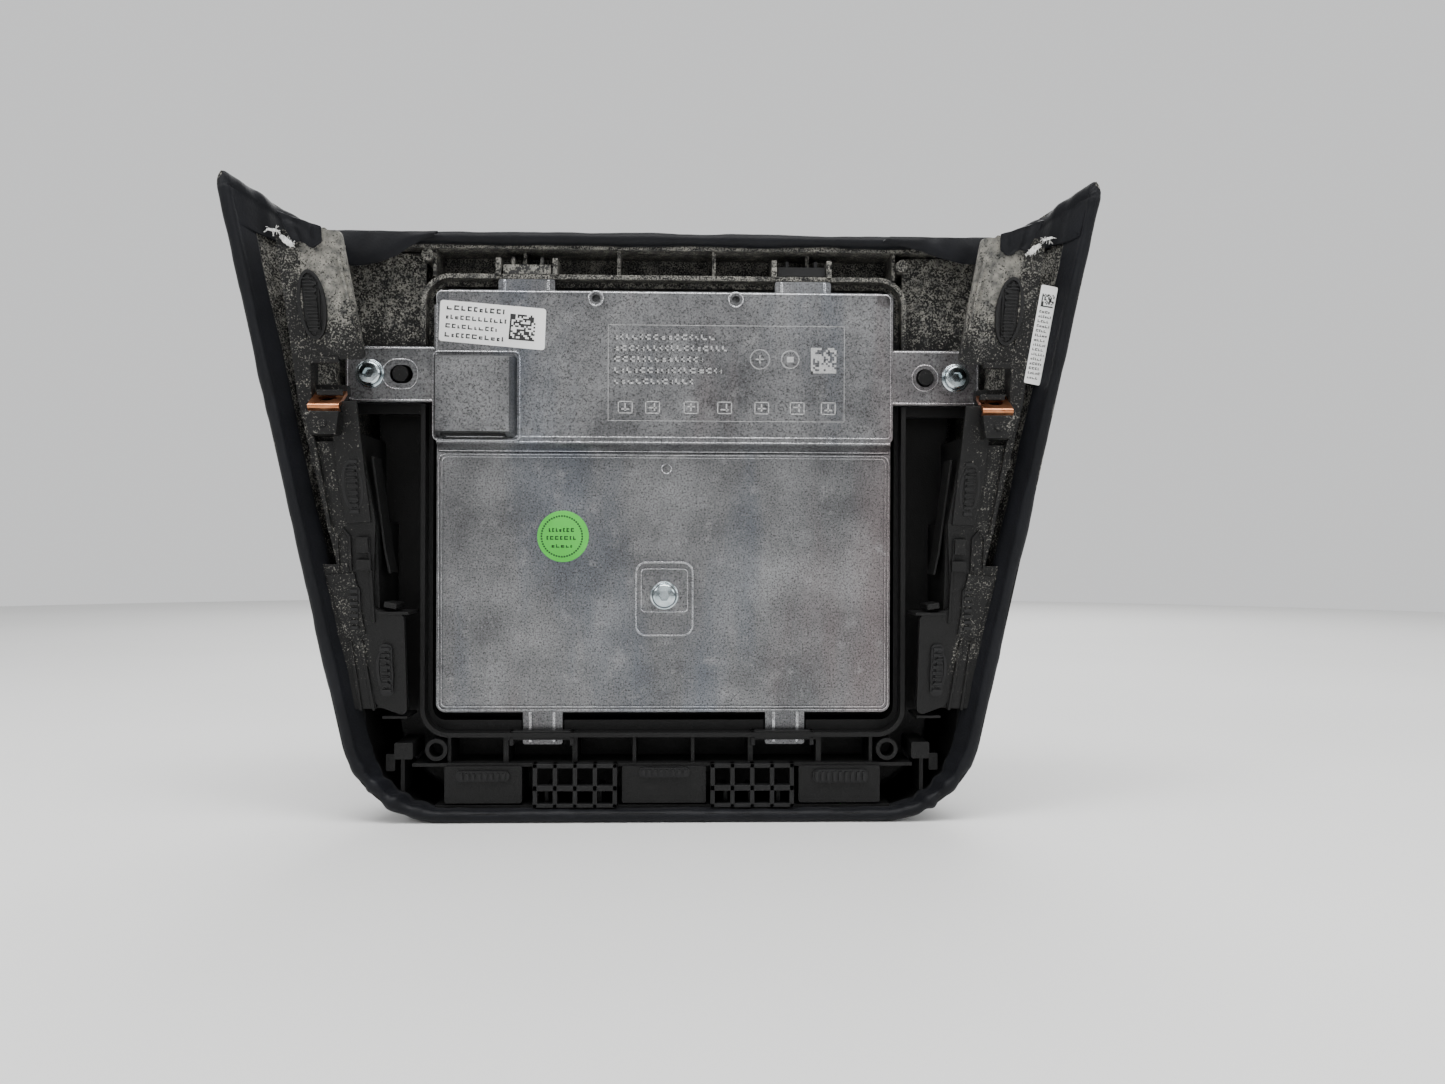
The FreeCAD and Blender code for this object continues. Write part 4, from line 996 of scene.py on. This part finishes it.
def stake_collars(mirror, name):
    """Melted collars and ribbed faces of the welds on one side."""
    solids = []
    for ring in STAKE_RINGS:
        solids += stake_face(*ring, mirror)
    made = solid_from(name, solids, MATERIAL_OF["detail_plastic"], 0.12)
    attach(made, "root")


# ---- printing and labels ----

PRINT_T = 0.05


def marks(name, rects, depth, material, turn=0, centre=(0, 0), lean=False):
    """Thin printed blocks given as x, z, width and height about a centre."""
    prisms = []
    for x, z, width, height in rects:
        corners = []
        for corner in rect(x, x + width, z, z + height):
            p = turned(*corner, turn)
            corners.append((centre[0] + p.x, centre[1] + p.y))
        prisms.append(prism(corners, depth - PRINT_T, depth, lean))
    made = mesh_object(name, *merge(prisms), material, False)
    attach(made, "root")
    return made


def code_square(x, z, side, cells, seed):
    """A plain random chequer with two solid edges."""
    pick = random.Random(seed)
    step = side / cells
    rects = [(x, z, step, side), (x, z, side, step)]
    for i in range(1, cells):
        for j in range(1, cells):
            if pick.random() < 0.5:
                rects.append((x + i * step, z + j * step, step, step))
    return rects


def strokes(x, z, width, height, seed, gap=0.45):
    """A row of plain angular marks in place of lettering: foot, upright and at times a cap."""
    pick = random.Random(seed)
    rects = []
    spot = x
    line = height * 0.30
    while spot < x + width:
        wide = pick.uniform(0.45, 1.1) * height
        tall = pick.choice((1, 1, 0.72))
        reach = min(wide, x + width - spot)
        rects.append((spot, z, reach, line))
        rects.append((spot, z, line, height * tall))
        if pick.random() < 0.6:
            rects.append((spot, z + height * tall - line, reach, line))
        spot += wide + gap * height
    return rects


def frame_rects(x, z, width, height, line):
    """Four thin bars round a rectangle."""
    return [(x, z, width, line), (x, z + height - line, width, line),
            (x, z, line, height), (x + width - line, z, line, height)]


def dotted_ring(x, z, radius, count, dot):
    """Small squares set round a circle."""
    return [(u - dot / 2, v - dot / 2, dot, dot) for u, v in ellipse(x, z, radius, radius, count)]


def rear_face(node):
    """Depth just behind a piece's rear face, in millimetres."""
    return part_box(node)[0].y / MM - 0.01


def label_printing():
    """Code squares, rows of strokes and a dotted ring on the labels and the sticker."""
    ink = print_ink("label_ink", 0.012)
    grey = print_ink("grey_ink", 0.035)
    depth = rear_face("part_label")
    turn = math.radians(-4.6)
    centre = (-60, 173.7)
    made = marks("label_code", code_square(5.6, -4.6, 9, 14, 11), depth, ink, turn, centre)
    rows = []
    lines = ((3.9, 20, 1.7), (0.7, 21, 1.5), (-2.4, 18, 1.5), (-5.6, 20.5, 1.6))
    for k, (z, width, tall) in enumerate(lines):
        rows += strokes(-16.6, z, width, tall, 20 + k)
    made = marks("label_rows", rows, depth, grey, turn, centre)
    stamp = dotted_ring(0, 0, 7.2, 48, 0.6)
    stamp += strokes(-4.6, 1.6, 9.2, 1.3, 31)
    stamp += strokes(-5.4, -1.2, 10.8, 1.3, 32)
    stamp += strokes(-3.6, -4, 7.2, 1.2, 33)
    made = marks("sticker_lines", stamp, rear_face("check_sticker"), ink, 0, (-36.4, 99.8))
    wing = code_square(-2, 9.2, 4.2, 10, 41)
    for k in range(15):
        wing += strokes(-2, 7.2 - 1.55 * k, 3.6 + 0.5 * (k % 2), 0.8, 50 + k, 0.3)
    made = marks("wing_rows", wing, -0.26, ink, math.radians(-8.3), (125.9, 167.5), True)


def etched_panel():
    """Laser marking on the metal block: a frame, rows of strokes and simple shapes."""
    etch = print_ink("etch", 0.34, 0.8)
    rects = frame_rects(-20, 140.4, 83.3, 33.8, 0.18)
    for k, width in enumerate((36, 40, 31, 38, 28)):
        rects += strokes(-17.8, 169.0 - 3.9 * k, width, 1.9, 60 + k)
    rects += code_square(51.4, 157.6, 9, 12, 71)
    rects += dotted_ring(33.4, 162.4, 3.4, 36, 0.4)
    rects += dotted_ring(44.1, 162.4, 3.1, 36, 0.4)
    rects += [(31.9, 162.2, 3, 0.4), (33.2, 160.9, 0.4, 3), (42.9, 161.4, 2.4, 2)]
    for k, x in enumerate((-13.9, -4.3, 9.2, 21, 34.1, 46.6, 57.6)):
        rects += frame_rects(x - 2.6, 143, 5.2, 4.4, 0.35)
        rects.append((x - 1.4, 144.3 + 0.5 * (k % 3), 2.8, 0.5))
        rects.append((x - 0.3 + 0.7 * (k % 2), 143.9, 0.5, 2.8))
    made = marks("etched_marks", rects, BLOCK_Y - 0.01, etch)


# ---- fleece ----

def fray(name, centre, width, height, seed, material, turn):
    """Torn patch of cloth with loose fibres."""
    pick = random.Random(seed)
    points = []
    steps = 26
    rings = 5
    for r in range(rings):
        for k in range(steps):
            a = 2 * math.pi * k / steps
            ragged = 1 + 0.45 * noise.noise(Vector((math.cos(a) * 2.2, math.sin(a) * 2.2, seed)))
            grow = (r + 0.25) / (rings - 0.75) * ragged
            p = turned(math.cos(a) * width / 2, math.sin(a) * height / 2, turn) * grow
            lift = 0.7 * noise.noise(Vector((p.x * 0.6, p.y * 0.6, seed + 3))) - 0.35
            points.append(Vector((centre[0] + p.x, centre[1] + lift, centre[2] + p.y)))
    faces = grid_faces(rings, steps, True)
    faces.append(tuple(range(steps)))
    for _ in range(18):
        a = pick.uniform(0, 2 * math.pi)
        p = turned(math.cos(a) * width * 0.45, math.sin(a) * height * 0.45, turn)
        run = Vector((math.cos(a + pick.uniform(-0.8, 0.8)), pick.uniform(-0.7, 0.1),
                      math.sin(a + pick.uniform(-0.8, 0.8)))) * pick.uniform(0.5, 1.5)
        root = Vector((centre[0] + p.x, centre[1] - 0.2, centre[2] + p.y))
        start = len(points)
        thin = pick.uniform(0.06, 0.14)
        for t in (0, 0.5, 1):
            end = root + run * t + Vector((0, 0, -0.5 * t * t))
            points += [end, end + Vector((thin, 0, thin))]
        faces += [(start, start + 1, start + 3, start + 2), (start + 2, start + 3, start + 5, start + 4)]
    made = thicken(mesh_object(name, points, faces, material), 0.25, -1)
    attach(made, "root")


def fleece_bits():
    """Two torn bits of backing cloth at the top of each wing."""
    cloth = fleece()
    for side in (-1, 1):
        tag = "left" if side < 0 else "right"
        fray("fleece_tip_" + tag, (side * 126.2, -29, 198.2), 3.8, 0.9, 5 + side, cloth, side * 0.2)
        fray("fleece_wing_" + tag, (side * 121.6, -29.4, 194.6), 5.2, 1.9, 9 + side, cloth, side * 0.7)


# ---- phone side ----

RIB_PITCH = 8.0
RIB_H = 0.7


def phone_mat(node, name):
    """Ribbed rubber mat with rounded edges."""
    low, high = (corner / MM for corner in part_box(node))
    columns = 61
    rows = 121
    points = []
    for r in range(rows):
        for c in range(columns):
            x = lerp(low.x, high.x, c / (columns - 1))
            z = lerp(low.z, high.z, r / (rows - 1))
            edge = min(x - low.x, high.x - x, z - low.z, high.z - z)
            rim = smooth_step(edge / 1.8)
            wave = 0.5 + 0.5 * math.cos(2 * math.pi * (z - low.z) / RIB_PITCH)
            rib = RIB_H * (0.25 + 0.75 * smooth_step(wave * 1.6))
            points.append((x, low.y + (high.y - low.y - RIB_H + rib) * rim, z))
    made = mesh_object(name, points, grid_faces(rows, columns, False), MATERIAL_OF[node])
    thicken(made, 0.6, 1)
    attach(made, "root")
    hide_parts(node)


def phone_ledge():
    """Soft lip under the phones, finely grooved along its front."""
    low, high = (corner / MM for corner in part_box("phone_ledge"))
    columns = 165
    around = 40
    middle = (low + high) / 2
    half = (high - low) / 2
    points = []
    for c in range(columns):
        x = lerp(low.x, high.x, c / (columns - 1))
        end = min(x - low.x, high.x - x)
        shrink = 1 - 0.25 * (1 - smooth_step(end / 2.5))
        for k in range(around):
            a = 2 * math.pi * k / around
            out_y = math.copysign(abs(math.cos(a)) ** 0.45, math.cos(a))
            out_z = math.copysign(abs(math.sin(a)) ** 0.45, math.sin(a))
            groove = 0.18 * (0.5 + 0.5 * math.cos(x * 2.1)) if out_z > -0.5 else 0.0
            points.append((x, middle.y + out_y * (half.y - groove) * shrink,
                           middle.z + out_z * (half.z - groove) * shrink))
    faces = grid_faces(columns, around, True)
    faces += [tuple(range(around)), tuple(reversed(range((columns - 1) * around, columns * around)))]
    made = mesh_object("phone_ledge_soft", points, faces, MATERIAL_OF["phone_ledge"])
    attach(made, "root")
    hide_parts("phone_ledge")


# ---- CAD nodes ----

BEVELS = {
    "charger_housing": 0.55, "trim_frame": 0.3, "inner_carrier": 0.3, "nut_clip_left": 0.35,
    "nut_clip_right": 0.35, "ear_screws": 0.18, "centre_screw": 0.18, "connector_shell": 0.35,
    "weld_stakes": 0.4, "charging_panel": 0.4, "centre_divider": 0.7, "snap_left": 0.3,
    "snap_right": 0.3, "charger_cover": 0.4, "part_label": 0.05, "check_sticker": 0.05,
    "wing_label": 0.05, "circuit_board": 0.2, "coil_tray": 0.3,
}


def dress_cad():
    """Give every carried-over CAD piece its material and softened edges."""
    for name, made in NODES.items():
        if name not in MATERIAL_OF:
            continue
        made.data.materials.clear()
        made.data.materials.append(MATERIAL_OF[name])
        if name in BEVELS:
            bevel(made, BEVELS[name], 40)


# ---- room ----

def floor():
    """Wide pale floor."""
    look = Shader("floor")
    tone = look.mix(look.ramp(look.noise(2.2, 3)), rgb(0.80, 0.80, 0.79), rgb(0.86, 0.86, 0.85))
    material = look.finish(tone, 0.75, look.bump(look.noise(60, 2), 0.02, 0.0005))
    points = [(x, y, -0.05) for x, y in ellipse(0, 0, 1700, 1700, 96)]
    made = mesh_object("floor", points, [tuple(range(96))], material, False)


def lamp(name, place, turn, power, wide, high=None):
    """Rectangular lamp; turn is in degrees about X and Z."""
    data = bpy.data.lights.new(name, "AREA")
    data.energy = power
    data.shape = "RECTANGLE"
    data.size = wide
    data.size_y = high or wide
    made = bpy.data.objects.new(name, data)
    made.location = place
    made.rotation_euler = (math.radians(turn[0]), 0, math.radians(turn[1]))
    bpy.context.scene.collection.objects.link(made)


def light():
    """Soft lamps above, on both sides, by the camera and in front, and the sky."""
    lamp("top_light", (0, -0.45, 1.1), (24, 0), 15, 1, 0.4)
    lamp("left_light", (-0.95, -0.85, 0.75), (55, -48), 5, 0.4)
    lamp("right_light", (0.95, -0.9, 0.55), (62, 46), 4, 0.4)
    lamp("camera_light", (0.05, -1.3, 0.55), (72, 0), 1.6, 0.9, 0.6)
    lamp("front_light", (0.2, 1.1, 0.9), (-52, 0), 12, 1)
    sky()


def sky():
    """Soft surround, paler behind the object than behind the camera."""
    look = Shader("world", "worlds")
    ahead = look.add("SeparateXYZ", i0=look.coords["Generated"]).outputs["Y"]
    glow = look.add("MapRange", {"interpolation_type": "SMOOTHSTEP"}, i0=ahead, i1=-0.5, i2=0.5,
                    i3=0.30, i4=1).outputs[0]
    back = look.tree.nodes["Background"]
    back.inputs["Color"].default_value = rgb(0.86, 0.865, 0.87)
    look.put(back, "Strength", glow)
    bpy.context.scene.world = look.owner


def camera():
    data = bpy.data.cameras.new("camera")
    data.lens = 30.1
    data.sensor_width = 36
    made = bpy.data.objects.new("camera", data)
    made.location = (0.0067, -0.424, 0.098)
    made.rotation_euler = (math.pi / 2, math.radians(-0.2), math.radians(-1.85))
    bpy.context.scene.collection.objects.link(made)
    bpy.context.scene.camera = made


def main():
    make_materials()
    dress_cad()
    dress_leather()
    flange_details(1, "flange_details_left")
    flange_details(-1, "flange_details_right")
    stake_collars(1, "stake_collars_left")
    stake_collars(-1, "stake_collars_right")
    cast_rims()
    base_details()
    label_printing()
    etched_panel()
    fleece_bits()
    phone_mat("phone_mat_left", "phone_mat_left_soft")
    phone_mat("phone_mat_right", "phone_mat_right_soft")
    phone_ledge()
    floor()
    light()
    camera()
    bpy.context.view_layer.update()


main()
